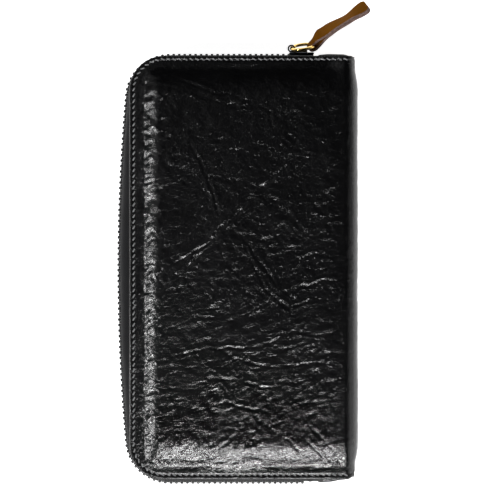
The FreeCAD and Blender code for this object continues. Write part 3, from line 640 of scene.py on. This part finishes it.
black_leather = leather_material(
    "black_leather", (0.0012, 0.0012, 0.0014), (0.0026, 0.0026, 0.0029), (0.13, 0.25), 0.0011, 0.00007, 0.5
)
inner_leather = leather_material(
    "inner_leather", (0.012, 0.012, 0.013), (0.02, 0.02, 0.021), (0.45, 0.62), 0.0008
)
tan_leather = leather_material(
    "tan_leather", (0.12, 0.041, 0.0008), (0.18, 0.064, 0.0015), (0.5, 0.7), 0.0009, 0.00005, 0.1, 1.12
)
tan_edge = edge_material("tan_edge", (0.05, 0.026, 0.018), (0.22, 0.14, 0.12), 900, 0.8)
black_edge = edge_material("black_edge", (0.006, 0.006, 0.007), (0.02, 0.02, 0.022), 600, 0.3)
tape_fabric = woven_material(
    "tape_fabric", (0.003, 0.003, 0.0034), (0.016, 0.016, 0.018), 0.0006, sheen=0.02
)
lining_fabric = woven_material(
    "lining_fabric", (0.010, 0.010, 0.012), (0.034, 0.034, 0.038), 0.0006, use_uv=False
)
tooth_plastic = leather_material(
    "tooth_plastic", (0.006, 0.006, 0.007), (0.012, 0.012, 0.013), (0.22, 0.3), 0.0005, 0.00003, 0.5
)
gunmetal = metal_material("gunmetal", (0.045, 0.052, 0.065), 0.28)
gold = metal_material("gold", (0.92, 0.63, 0.21), 0.12)
# Cover thread: its colours are set lighter than the thread's own dark tone, so part of this grey is a
# painted highlight on the stitches.
cover_thread_painted_highlight = thread_material("cover_thread_painted_highlight", (0.07, 0.07, 0.072), (0.36, 0.36, 0.37))
dark_thread = thread_material("dark_thread", (0.012, 0.012, 0.013), (0.05, 0.05, 0.052))
board_card = edge_material("board_card", (0.22, 0.19, 0.15), (0.34, 0.30, 0.25), 300, 0.9)
foam_rubber = edge_material("foam_rubber", (0.2, 0.2, 0.2), (0.32, 0.32, 0.32), 1500, 0.95)


# ---------------------------------------------------------------- outer leather


def row_places(step):
    """Places along the cover's length, evenly spaced along its outline."""
    straight = HALF - CORNER
    reach = straight + CORNER * math.pi / 2
    along = np.linspace(-reach, reach, thirds(int(2 * reach / step)))
    turned = np.clip((np.abs(along) - straight) / CORNER, 0, math.pi / 2)
    return np.sign(along) * (np.minimum(np.abs(along), straight) + CORNER * np.sin(turned))


def skin_grid(step):
    """The half skin at full height: places and normals, from the sewn edge to the middle of the spine."""
    rows = row_places(step)
    edge = LEFT + corner_retreat(HALF - np.abs(rows), CORNER)
    roll_start = RIGHT - SPINE_ROLL
    turns = np.linspace(0, math.pi / 2, 18)[1:]
    drop = np.linspace(TOP - SPINE_ROLL, MIDDLE, 12)[1:]
    flat_count = thirds(int((roll_start - LEFT) / step) + 28) - 28
    near = np.linspace(0, 1, flat_count - 3)
    share = np.sort(np.concatenate([near, near[1:4] / 2 + near[0:3] / 2]))
    flat_x = edge[:, None] + (roll_start - edge[:, None]) * share[None]
    tail_x = np.concatenate([roll_start + SPINE_ROLL * np.sin(turns), np.full(len(drop), RIGHT)])
    tail_z = np.concatenate([TOP - SPINE_ROLL * (1 - np.cos(turns)), drop])
    tail_nx = np.concatenate([np.sin(turns), np.ones(len(drop))])
    tail_nz = np.concatenate([np.cos(turns), np.zeros(len(drop))])
    count = len(rows)
    x = np.concatenate([flat_x, np.tile(tail_x, (count, 1))], 1)
    z = np.concatenate([np.full(flat_x.shape, TOP), np.tile(tail_z, (count, 1))], 1)
    nx = np.concatenate([np.zeros(flat_x.shape), np.tile(tail_nx, (count, 1))], 1)
    nz = np.concatenate([np.ones(flat_x.shape), np.tile(tail_nz, (count, 1))], 1)
    y = np.tile(rows[:, None], (1, x.shape[1]))
    return x, y, z, nx, nz


def rounded_end(x, y):
    """The length once the two corners at the spine are rounded off."""
    radius = np.where(y > 0, END_ROUND_HIGH, END_ROUND_LOW)
    past = np.clip((x - (RIGHT - radius)) / radius, 0, 1)
    retreat = radius * (1 - np.sqrt(1 - past**2))
    return y - np.sign(y) * retreat * smooth_step(HALF - 14, HALF, np.abs(y))


def front_place(y, z):
    """The front cover lies a little nearer the top end than the back cover."""
    return y + FRONT_SHIFT * smooth_step(MIDDLE, TOP - 4, z)


def shoulder(low, high, value, start=0.18):
    """Rise from 0 to 1 that is steepest near its start and eases off slowly."""
    share = np.clip((value - low) / (high - low), 0, 1)
    return np.where(share < start, share**2 / start, 1 - (1 - share) ** 2 / (1 - start))


def panel_rise(x, y):
    """Share of the padded panel's full height, steep at the opening side and softer at the ends."""
    return shoulder(*SIDE_SHOULDER, x - LEFT) * shoulder(*END_SHOULDER, HALF - np.abs(y))


def skin_heights(x, y, z, seed):
    """Height of the leather below and above its full level: edge, panel and wrinkles."""
    inset = cover_inset(np.minimum(x, RIGHT), y)
    spine = spine_share(x)
    height = -EDGE_DROP * (1 - 0.5 * spine) * (1 - panel_rise(x, y))
    height -= 0.14 * np.exp(-(((inset - STITCH_INSET) / 0.5) ** 2))
    rim = np.clip(inset / 0.7, 0, 1)
    height -= 0.45 * (1 - np.sqrt(1 - (1 - rim) ** 2))
    height += 0.25 * smooth_step(12, 45, inset) * (1 - spine)
    across = x + np.maximum(TOP - z, 0)
    flat_part = smooth_step(TOP - 8, TOP - 2, z)
    mask = smooth_step(3.0, 6.5, inset) * (1 - 0.8 * spine * flat_part)
    waves = spine * (1 - flat_part) * smooth_step(2, 9, inset)
    height += 0.16 * waves * value_noise(y / 13, across / 7, seed + 20)
    plain = height.copy()
    height += mask * wrinkles(across, y, inset, seed)
    height += mask * creases(x, y, seed == SEEDS["back"])
    height += 0.012 * value_noise(x / 1.1, y / 1.1 + z, seed + 12)
    return height, plain


def half_skin(side, step):
    """One half of the outer leather, from the sewn edge to the middle of the spine."""
    x, y, z, nx, nz = skin_grid(step)
    height, plain = skin_heights(x, y, z, SEEDS[side])
    length = rounded_end(x, y)
    if side == "front":
        length = front_place(length, z)
    under = plain - SKIN
    upper = np.stack([x + nx * height, length, z + nz * height], 2)
    lower = np.stack([x + nx * under, length, z + nz * under], 2)
    upper, lower = turned_over(side, upper, lower)
    if side == "back":
        resting = np.maximum(upper[..., 2], BACK_BOTTOM + 0.02)
        upper[..., 2] = np.where(nz > 0.5, resting, upper[..., 2])
    verts, faces, body = closed_shell(upper, lower, 3)
    obj = make(side + "_outer_leather", verts, faces, black_leather, sharp=60)
    index = np.zeros(len(faces), np.int32)
    index[body:] = 1
    second_material(obj, black_edge, index)
    return obj


def outer_leather():
    """Both half skins, which meet down the middle of the spine, each rolling down into it from its cover.
    """
    front = half_skin("front", step=0.54)
    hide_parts("front_cover_leather", "spine_leather")
    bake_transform(front)
    back = half_skin("back", step=0.75)
    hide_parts("back_cover_leather")
    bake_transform(back)


def spine_cloth():
    """Lining cloth down the inside of the spine, just under the leather."""
    x, y, z, nx, nz = skin_grid(2.0)
    under = skin_heights(x, y, z, SEEDS["front"])[1] - SKIN
    keep = nx[0] > 0.6
    length = rounded_end(x, y) * (1 - 2.5 / HALF)
    layers = []
    for depth in (0.08, 0.5):
        half = np.stack([x + nx * (under - depth), length, z + nz * (under - depth)], 2)[:, keep]
        other = half[:, ::-1] * (1, 1, -1) + (0, 0, 2 * MIDDLE)
        layers.append(np.concatenate([half, other[:, 1:]], 1))
    verts, faces, _ = closed_shell(*layers)
    cloth = make("spine_cloth", verts, faces, lining_fabric)
    settle(cloth, "spine_lining", "spine")


def foam(side, body):
    """Foam between the board and the leather, thinned towards the sewn edge."""
    high = cad(side + "_foam_pad")[1]
    inset = 8.8
    spine_gap, skin_gap, bottom = 1.2, 0.12, 2.95
    rows = np.linspace(-1, 1, 121) * (HALF - inset)
    edge = LEFT + inset + corner_retreat(HALF - inset - np.abs(rows), CORNER - inset)
    x = edge[:, None] + (high[0] - spine_gap - edge[:, None]) * np.linspace(0, 1, 61)[None]
    y = np.tile(rows[:, None], (1, x.shape[1]))
    _, plain = skin_heights(x, y, np.full(x.shape, TOP), SEEDS[side])
    upper = np.stack([x, y, TOP + plain - SKIN - skin_gap], 2)
    lower = np.stack([x, y, np.full(x.shape, TOP - bottom)], 2)
    verts, faces, _ = closed_shell(*turned_over(side, upper, lower))
    obj = make(side + "_foam_layer", verts, faces, foam_rubber)
    settle(obj, side + "_foam_pad", body)


# ---------------------------------------------------------------- stitches


def stitch(length, thickness):
    """Points and faces of one stitch along X, sunk at both ends."""
    along = np.linspace(-length / 2, length / 2, 7)
    sink = -0.35 * (2 * np.abs(along) / length) ** 4
    path = np.stack([along, np.zeros(7), sink], 1)
    radius = thickness / 2 * np.sqrt(np.clip(1.15 - (2 * np.abs(along) / length) ** 4, 0.1, 1))
    return tube(path, radius, 8, up=(0, 0, 1))


def cover_stitches(side, body):
    """The row of slanted stitches round the sewn edge of one cover."""
    shape = stitch(length=2.0, thickness=0.62)
    slant = math.radians(30)
    pieces = []
    for x, y, nx, ny in outline_points(STITCH_INSET, STITCH_PITCH, RIGHT - 5.5):
        along = np.array([-ny, nx]) * math.cos(slant) + np.array([nx, ny]) * math.sin(slant)
        level = TOP - EDGE_DROP * (1 - 0.5 * spine_share(x))
        shift = FRONT_SHIFT + 0.5 * smooth_step(60, 90, y) if side == "front" else 0
        pieces.append(mirrored(side, placed(shape, (x, y + shift, level), along)))
    row = join(side + "_cover_stitches", pieces, cover_thread_painted_highlight)
    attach(row, body)


# ---------------------------------------------------------------- zip


def zip_tape(side, body):
    """Tape that comes out from under the leather's edge and curves over to the teeth."""
    reach = zip_reach(TAPE_END)
    count = int(2 * reach / 0.9)
    profile = np.linspace(0, 1, 17)
    outside = np.empty((count + 1, len(profile), 3))
    inside = np.empty((count + 1, len(profile), 3))
    uv = np.empty((count + 1, len(profile), 2))
    high = TOP - EDGE_DROP - SKIN - 0.05
    low = MIDDLE + 1.2
    for number in range(count + 1):
        distance = -reach + 2 * reach * number / count
        x, y, nx, ny = zip_place(distance)
        width = max(3.2 - float(cover_inset(np.array(x), np.array(y))), 3.0)
        turn = profile * math.pi / 2
        outward = width * (np.sin(turn) ** 0.72) - width
        level = high - (high - low) * (1 - np.cos(turn) ** 0.62)
        slope_n = np.gradient(outward)
        slope_z = np.gradient(level)
        length = np.hypot(slope_n, slope_z) + 1e-9
        off_n, off_z = -slope_z / length, slope_n / length
        puff = 0.10 * math.sin(distance / 7.0) + 0.06 * math.sin(distance / 3.1)
        for layer, gap in ((outside, 0.22), (inside, -0.22)):
            n = outward + gap * off_n + puff * np.sin(turn * 2)
            layer[number, :, 0] = x + nx * n
            layer[number, :, 1] = y + ny * n
            layer[number, :, 2] = level + gap * off_z
        uv[number, :, 0] = distance * MM
        uv[number, :, 1] = np.cumsum(length) * MM
    if side == "back":
        uv = uv[::-1]
    verts, faces, _ = closed_shell(*turned_over(side, outside, inside))
    both = np.concatenate([uv.reshape(-1, 2), uv.reshape(-1, 2)])
    tape = make(side + "_tape", verts, faces, tape_fabric, uv=both)
    settle(tape, side + "_zip_tape", body)


def tooth_shape(reach_out):
    """One moulded tooth: a rounded head that meets the other row, and two jaws round the tape's edge."""
    head, faces = block_shape((1.2, 2.3, 2.0), 0.42, 3)
    head[:, 2] += 0.2
    head[:, 0] *= 1 - 0.16 * (head[:, 2] < 0)
    jaw, jaw_faces = block_shape((1.35, 2.4, 1.5), 0.4, 2)
    jaw[:, 2] += 1.75
    merged = np.concatenate([head, jaw])
    merged[:, 1] += reach_out * (merged[:, 1] > 0)
    return merged, [list(f) for f in faces] + [[v + len(head) for v in f] for f in jaw_faces]


def zip_row(name, side, shape, spots, material):
    """Copies of one shape along the zip, in the front half or mirrored into the back half."""
    pieces = []
    for distance in spots:
        x, y, nx, ny = zip_place(distance)
        pieces.append(mirrored(side, placed(shape, (x, y, MIDDLE), (ny, -nx))))
    return join(name, pieces, material)


def zip_teeth(side, body):
    """A row of teeth and the stops at its ends."""
    count = int(zip_reach(27.6) / TOOTH_PITCH)
    shift, reach_out = (-0.25, 0.35) if side == "front" else (0.25, -0.1)
    spots = [(number + shift) * TOOTH_PITCH for number in range(-count, count + 1)]
    teeth = zip_row(side + "_teeth", side, tooth_shape(reach_out), spots, tooth_plastic)
    settle(teeth, side + "_zip_teeth", body)
    stop = block_at((0, 0, 1.75), (1.8, 1.15, 1.7), 0.3)
    reach = zip_reach(30.4)
    stops = zip_row(side + "_stops", side, stop, (reach, -reach), gunmetal)
    settle(stops, side + "_zip_stops", body)


def end_tab(end):
    """Leather folded over the zip's end, running in to the spine."""
    way = 1 if end == "top" else -1
    start, finish = 33.6, 50.6
    stations = np.linspace(start, finish, 36)
    outer = {"top": (97.75, 98.1, 98.0, 96.8), "bottom": (97.55, 97.3, 96.4, 94.9)}[end]
    half_depth, half_height = 1.35, 4.1
    ring = []
    for turn in np.linspace(0, 2 * math.pi, 28, endpoint=False):
        c, d = math.cos(turn), math.sin(turn)
        across = math.copysign(abs(c) ** 0.5, c) * half_depth
        ring.append((across, math.copysign(abs(d) ** 0.35, d) * half_height))
    grid = []
    for x in stations:
        reach = follow(x, (start, 39, 45, finish), outer) - half_depth
        close = 1 - 0.55 * (1 - min((x - start) / 1.2, 1)) ** 2
        grid.append([(x, way * (reach + across * close), MIDDLE + up * close) for across, up in ring])
    faces = ring_faces(len(stations), len(ring), flip=way < 0)
    obj = make(end + "_zip_end", np.array(grid).reshape(-1, 3), faces, black_leather)
    settle(obj, "zip_end_tab_" + end, "spine")


def slider():
    """Slider of the main zip with rounded plates, rims, a wedge, a rib and an eye."""
    middle = np.array([26.5, TAPE_HALF, MIDDLE])
    pieces = []
    for way in (1, -1):
        plate = block_shape((11.4, 0.9, 8.4), 0.4, 3)
        plate[0][:, 2] *= 1 - 0.10 * np.clip(-plate[0][:, 0] / 5.7, 0, 1)
        pieces.append(moved(plate, middle + (0, way * 1.75, 0)))
        for place in (-1, 1):
            pieces.append(block_at(middle + (0, way * 1.03, place * 3.5), (11.0, 0.7, 1.3), 0.2))
    wedge = block_at(middle + (4.0, 0, 0), (2.2, 2.8, 1.3), 0.3)
    rib = block_at(middle + (-0.8, 2.4, 0), (7.0, 1.9, 2.3), 0.6, 3)
    eye = eye_shape(RING_POST, eye_profile(hole=1.05, outside=1.8, half=1.1), 28)
    pieces += [wedge, eye, rib]
    obj = join("slider_body", pieces, gunmetal, sharp=40)
    settle(obj, "zip_slider", "zip_slider")


def ring():
    """Gold wire ring through the slider's bridge."""
    ahead = np.array([math.cos(RING_HEADING), math.sin(RING_HEADING), 0])
    side = np.array([-math.sin(RING_HEADING), math.cos(RING_HEADING), 0])
    upward = math.cos(RING_LEAN) * np.array([0, 0, 1.0]) - math.sin(RING_LEAN) * side
    turns = np.linspace(0, 2 * math.pi, 72, endpoint=False)[:, None]
    path = RING_POST + RING_RADIUS * (ahead + np.cos(turns) * ahead + np.sin(turns) * upward)
    verts, faces = tube(path, RING_WIRE, 16, closed=True, up=np.cross(ahead, upward))
    obj = make("gold_ring", verts, faces, gold)
    settle(obj, "pull_ring", "pull_ring")


# the strap's cross-section as (share of width, share of thickness), and which of its faces are cut edge
TAB_SECTION = [
    (-0.5, -0.30), (-0.485, -0.5), (-0.25, -0.52), (0.0, -0.53), (0.25, -0.52), (0.485, -0.5), (0.5, -0.30),
    (0.5, 0.30), (0.485, 0.5), (0.25, 0.52), (0.0, 0.53), (-0.25, 0.52), (-0.485, 0.5), (-0.5, 0.30),
]
TAB_FACE_COLUMNS = [1, 0, 0, 0, 0, 1, 1, 1, 0, 0, 0, 0, 1, 1]


def follow(place, stations, values):
    """A value that passes smoothly from station to station."""
    for number in range(len(stations) - 1):
        if place <= stations[number + 1] or number == len(stations) - 2:
            share = float(smooth_step(stations[number], stations[number + 1], place))
            return values[number] + (values[number + 1] - values[number]) * share
    return values[-1]


def tab_path():
    """The folded strap as (along, across) from one tip round the ring to the other."""
    apart = TAB_PLY / 2 + 0.02
    upper = [(along, apart) for along in np.linspace(TAB_LENGTH, TAB_MERGE, 44)]
    for along in np.linspace(TAB_MERGE, 0.4, 12)[1:]:
        upper.append((along, apart + 0.95 * float(smooth_step(TAB_MERGE, 1.2, along))))
    top = upper[-1][1]
    for turn in np.radians(np.linspace(100, 180, 8)):
        upper.append((0.4 + 2.9 * math.cos(turn), top * math.sin(turn)))
    lower = [(along, -across) for along, across in upper[::-1]][1:]
    return np.array(upper + lower)


def tab_width(along):
    """Width of the strap, narrow at the ring and blunt at the tip."""
    blunt = math.sqrt(1 - min(max((along - (TAB_LENGTH - 2.2)) / 2.6, 0), 0.95) ** 2)
    width = follow(along, (0.5, 6.5, 17, 31), (TAB_NECK, TAB_WIDTH, TAB_WIDTH - 0.4, TAB_WIDTH))
    return width * (0.25 + 0.75 * blunt)


def tab_twist(along):
    """Turn of the strap about its own length, in radians."""
    return math.radians(follow(along, (-3, 3, 8, 20, 28), (30, 34, 29, 20, 34)))


def tab_lift(along):
    """Sideways bow of the strap."""
    return follow(along, (-0.5, 6, 10, 21, 30), (0.0, 1.75, 1.7, 0.55, 0.35))


def pull_tab():
    """One tan strap folded round the ring, its plies together, twisted so that its face shows."""
    path = tab_path()
    tangent = np.gradient(path, axis=0)
    tangent /= np.linalg.norm(tangent, axis=1)[:, None]
    normal = np.stack([-tangent[:, 1], tangent[:, 0]], 1)
    pivot = RING_POST + 2 * RING_RADIUS * np.array([math.cos(RING_HEADING), math.sin(RING_HEADING), 0])
    rings = []
    for number, (along, across) in enumerate(path):
        width, twist, lift = tab_width(along), tab_twist(along), tab_lift(along)
        row = []
        for wide, deep in TAB_SECTION:
            b = across + normal[number, 1] * deep * TAB_PLY
            a = along + normal[number, 0] * deep * TAB_PLY
            c = wide * width
            b, c = b * math.cos(twist) - c * math.sin(twist), b * math.sin(twist) + c * math.cos(twist)
            b += lift
            x = a * math.cos(TAB_HEADING) - b * math.sin(TAB_HEADING)
            y = a * math.sin(TAB_HEADING) + b * math.cos(TAB_HEADING)
            row.append(pivot + np.array([x, y, c]))
        rings.append(row)
    rings = np.array(rings)
    count, sides = rings.shape[:2]
    obj = make("tan_pull", rings.reshape(-1, 3), ring_faces(count, sides), tan_leather, sharp=50)
    second_material(obj, tan_edge, np.array(TAB_FACE_COLUMNS * (count - 1) + [1, 1], np.int32))
    settle(obj, "leather_pull_tab", "pull_tab")


# ---------------------------------------------------------------- inside


def soft_sheet(name, node, material, body, wave=0.12, bead=0.0, corner=2.0):
    """A leather or fabric panel in a CAD sheet's place, with a turned edge and a soft, uneven surface."""
    low, high = cad(node)
    middle = (low + high) / 2
    rows = np.linspace(low[1], high[1], 90)
    step = np.linspace(0, 1, 46)
    edge = corner_retreat((high[1] - low[1]) / 2 - np.abs(rows - middle[1]), corner)
    x = low[0] + edge[:, None] + (high[0] - low[0] - edge[:, None]) * step[None]
    y = np.tile(rows[:, None], (1, len(step)))
    rough = 0.2 * wave * value_noise(x / 14, y / 14, sum(map(ord, node)))
    half = (high[2] - low[2]) / 2 - 0.02 + bead * np.exp(-(((x - low[0]) / 0.9) ** 2))
    upper = np.stack([x, y, middle[2] + half + rough], 2)
    lower = np.stack([x, y, middle[2] - half + rough], 2)
    verts, faces, _ = closed_shell(upper, lower)
    obj = make(name, verts, faces, material)
    settle(obj, node, body)


def stitch_row(name, points, body, material, length=1.7, pitch=2.3, thickness=0.4):
    """Straight rows of stitches, each between two points."""
    shape = stitch(length, thickness)
    pieces = []
    for start, end in points:
        start, end = np.array(start, float), np.array(end, float)
        span = np.linalg.norm(end - start)
        along = (end - start) / span
        for number in range(int(span / pitch)):
            pieces.append(placed(shape, start + along * (number + 0.5) * pitch, along))
    obj = join(name, pieces, material)
    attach(obj, body)


def inside_half(side, body):
    """Lining and card strips of one half."""
    lining = side + "_lining"
    soft_sheet(lining + "_cloth", lining, lining_fabric, body, wave=0.3, corner=13.6)
    way = 1 if side == "back" else -1
    margin, sewn_half = 1.6, 76
    rows = []
    for number in range(1, 5):
        node = f"{side}_card_strip_{number}"
        pocket = f"{side}_card_pocket_{number}"
        soft_sheet(pocket, node, inner_leather, body, bead=0.16)
        low, high = cad(node)
        level = (high[2] if side == "back" else low[2]) + way * 0.12
        left = low[0] + margin
        right = high[0] if number == 4 else low[0] + 12
        rows.append(((left, -sewn_half, level), (left, sewn_half, level)))
        for y in (-sewn_half - 0.3, 0, sewn_half + 0.3):
            rows.append(((left, y, level), (right, y, level)))
    stitch_row(side + "_card_stitches", rows, body, dark_thread)


def gusset(side, end):
    """A folded gusset between a cover's lining and the coin pocket."""
    node = f"gusset_{end}_{side}"
    low, high = cad(node)
    way = 1 if end == "top" else -1
    share = np.linspace(0, 1, 15)
    stations = np.linspace(low[0], high[0], 40)
    outer, inner = (high[1], low[1]) if way > 0 else (low[1], high[1])
    fold = np.abs(2 * share - 1)
    tips = np.where(share < 0.5, 0.5, 1.0)  # the side sewn to the coin pocket is shallower
    levels = low[2] + 0.25 + (high[2] - low[2] - 0.5) * share
    if side == "back":
        levels = levels[::-1]
    spread = inner + way * 0.3 + (outer - inner - way * 0.5) * (fold**0.8) * tips
    soft = 0.25 * way * np.sin(stations / 9.0 + share.sum())[:, None] * (1 - fold)
    x = np.tile(stations[:, None], (1, len(share)))
    upper = np.stack([x, spread + soft, np.tile(levels, (len(stations), 1))], 2)
    lower = upper + (0, way * 0.35, 0)
    verts, faces, _ = closed_shell(upper, lower)
    obj = make(f"{end}_{side}_gusset", verts, faces, lining_fabric)
    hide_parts(node)
    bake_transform(obj)


def coin_pocket():
    """Panels, tapes and teeth of the coin pocket."""
    first = 65.0
    for side, way, start in (("back", -1, first - COIN_PITCH / 2), ("front", 1, first)):
        panel = f"coin_pocket_{side}_panel"
        tape = f"coin_zip_tape_{side}"
        cloth = f"coin_{side}_cloth"
        soft_sheet(cloth, panel, lining_fabric, "spine", wave=0.5, corner=3.0)
        tooth = block_at((COIN_LINE, start, MIDDLE + way * 0.6), (1.5, 0.95, 2.3), 0.25)
        teeth = [moved(tooth, (0, -number * COIN_PITCH, 0)) for number in range(COIN_TEETH)]
        row = join(f"coin_{side}_teeth", teeth, gold)
        settle(row, f"coin_zip_teeth_{side}", "spine")
        soft_sheet(f"coin_{side}_tape", tape, lining_fabric, "spine", wave=0.0, corner=0.2)


def coin_slider():
    """Slider of the coin zip: two rounded plates, a wedge, and an eye for its pull on a saddle."""
    middle = np.array([COIN_LINE, 68.5, MIDDLE])
    post = np.array([*COIN_POST, MIDDLE])
    pieces = []
    for way in (1, -1):
        plate = block_shape((0.8, 9.0, 4.6), 0.35, 3)
        plate[0][:, 2] *= 1 - 0.12 * np.clip(-plate[0][:, 1] / 4.5, 0, 1)
        pieces.append(moved(plate, middle + (way * 1.65, 0, 0)))
    wedge = block_at(middle + (0, 2.0, 0), (2.5, 3.0, 1.0), 0.25)
    saddle = block_at(post + (1.25, 0, 0), (0.6, 3.0, 2.2), 0.25)
    eye = eye_shape(post, eye_profile(hole=0.95, outside=1.6, half=1.05), 24)
    pieces += [wedge, saddle, eye]
    obj = join("coin_slider_body", pieces, gold, sharp=40)
    settle(obj, "coin_zip_slider", "coin_slider")


def coin_pull():
    """Pull of the coin zip: a pin, two arms and a grip with a raised middle."""
    post = np.array([*COIN_POST, MIDDLE])
    pin = tube([post - (0, 0, 2.2), post, post + (0, 0, 2.2)], 0.6, 14, up=(0, 1, 0))
    grip = block_shape((1.0, 11.0, 4.6), 0.45, 3)
    grip[0][:, 2] *= 1 - 0.25 * smooth_step(-1.5, 5.5, grip[0][:, 1])
    raised = block_at(post - (0, 9.5, 0), (1.3, 5.5, 2.2), 0.3)
    pieces = [pin, moved(grip, post - (0, 8.5, 0)), raised]
    for way in (1, -1):
        arm = block_shape((1.0, 4.9, 0.65), 0.28, 2)
        arm[0][:, 2] -= way * 0.35 * smooth_step(0.5, -2.4, arm[0][:, 1])
        pieces.append(moved(arm, post + (0, -1.6, way * 1.95)))
    obj = join("coin_pull_grip", pieces, gold, sharp=40)
    settle(obj, "coin_zip_pull", "coin_pull")


def repaint_nodes():
    """Materials of the CAD nodes that stay."""
    kept = {"back_stiffener_board": board_card, "front_stiffener_board": board_card}
    kept.update({"coin_pocket_end_top": lining_fabric, "coin_pocket_end_bottom": lining_fabric})
    for node, material in kept.items():
        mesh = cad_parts[node].data
        mesh.materials.clear()
        mesh.materials.append(material)


# ---------------------------------------------------------------- camera, floor and light


def aim(obj, target):
    """Turn an object so that its -Z looks at a target."""
    obj.rotation_euler = (Vector(target) - obj.location).to_track_quat("-Z", "Y").to_euler()


def area_light(name, place, target, size, power):
    """A rectangular soft light."""
    data = bpy.data.lights.new(name, "AREA")
    data.shape = "RECTANGLE"
    data.size, data.size_y = size
    data.energy = power
    light = bpy.data.objects.new(name, data)
    bpy.context.scene.collection.objects.link(light)
    light.location = place
    aim(light, target)


def camera():
    """Straight down on the middle of the picture."""
    data = bpy.data.cameras.new("camera")
    data.sensor_width = 36
    data.lens = data.sensor_width * (CAMERA_HEIGHT - TOP * MM) / PICTURE_WIDTH
    data.clip_end = 20
    obj = bpy.data.objects.new("camera", data)
    bpy.context.scene.collection.objects.link(obj)
    obj.location = (*CAMERA_PLACE, CAMERA_HEIGHT)
    bpy.context.scene.camera = obj


def floor():
    """Pale floor under the wallet."""
    material, nodes, links, shader = new_material("floor", (0.93, 0.93, 0.93), 0.9, Specular_IOR_Level=0.1)
    cloudy = add_node(nodes, "ShaderNodeTexNoise", Scale=3)
    tones = [(0.2, (0.92, 0.92, 0.92)), (0.8, (0.94, 0.94, 0.94))]
    colour = ramp(nodes, links, cloudy.outputs["Fac"], tones)
    links.new(colour, shader.inputs["Base Color"])
    links.new(colour, shader.inputs["Emission Color"])
    shader.inputs["Emission Strength"].default_value = 1.0
    size = 3000
    verts = [(-size, -size, -0.05), (size, -size, -0.05), (size, size, -0.05), (-size, size, -0.05)]
    obj = make("floor", verts, [(0, 1, 2, 3)], material)


def studio_walls():
    """Pale walls all round and a dark ceiling, so that flat glossy leather stays black from above."""
    world = bpy.data.worlds.new("world")
    bpy.context.scene.world = world
    world.use_nodes = True
    nodes, links = world.node_tree.nodes, world.node_tree.links
    where = add_node(nodes, "ShaderNodeTexCoord")
    split = add_node(nodes, "ShaderNodeSeparateXYZ")
    links.new(where.outputs["Generated"], split.inputs["Vector"])
    tones = [(0.0, (0.95, 0.95, 0.95)), (0.28, (0.5, 0.5, 0.5)), (0.52, (0.003, 0.003, 0.003))]
    links.new(ramp(nodes, links, split.outputs["Z"], tones), nodes["Background"].inputs["Color"])
    nodes["Background"].inputs["Strength"].default_value = 0.9


def lights():
    """Two strips of light for the slopes of the padded cover, and two faint broad ones."""
    centre = (0, 0, 0.02)
    area_light("light_left", (-0.68, -0.16, 0.72), (-0.04, -0.02, 0.02), (0.055, 0.34), 5)
    area_light("light_low", (0.0, -0.47, 0.84), (0, -0.08, 0.02), (0.30, 0.12), 6)
    area_light("light_high", (-0.38, 0.20, 0.85), centre, (0.4, 0.4), 0.2)
    area_light("light_right", (0.90, -0.25, 0.40), centre, (0.25, 0.8), 1.5)
    bpy.context.scene.view_settings.view_transform = "Standard"


def build():
    """Make every visible piece."""
    camera()
    outer_leather()
    spine_cloth()
    for side, body in (("back", "root"), ("front", "front_cover")):
        foam(side, body)
        cover_stitches(side, body)
        zip_tape(side, body)
        zip_teeth(side, body)
        inside_half(side, body)
        gusset(side, "top")
        gusset(side, "bottom")
    coin_pocket()
    coin_slider()
    coin_pull()
    end_tab("top")
    end_tab("bottom")
    slider()
    ring()
    pull_tab()
    repaint_nodes()
    floor()
    studio_walls()
    lights()


def plain(box):
    """A box as plain lists."""
    return [[float(value) for value in corner] for corner in box]


build()
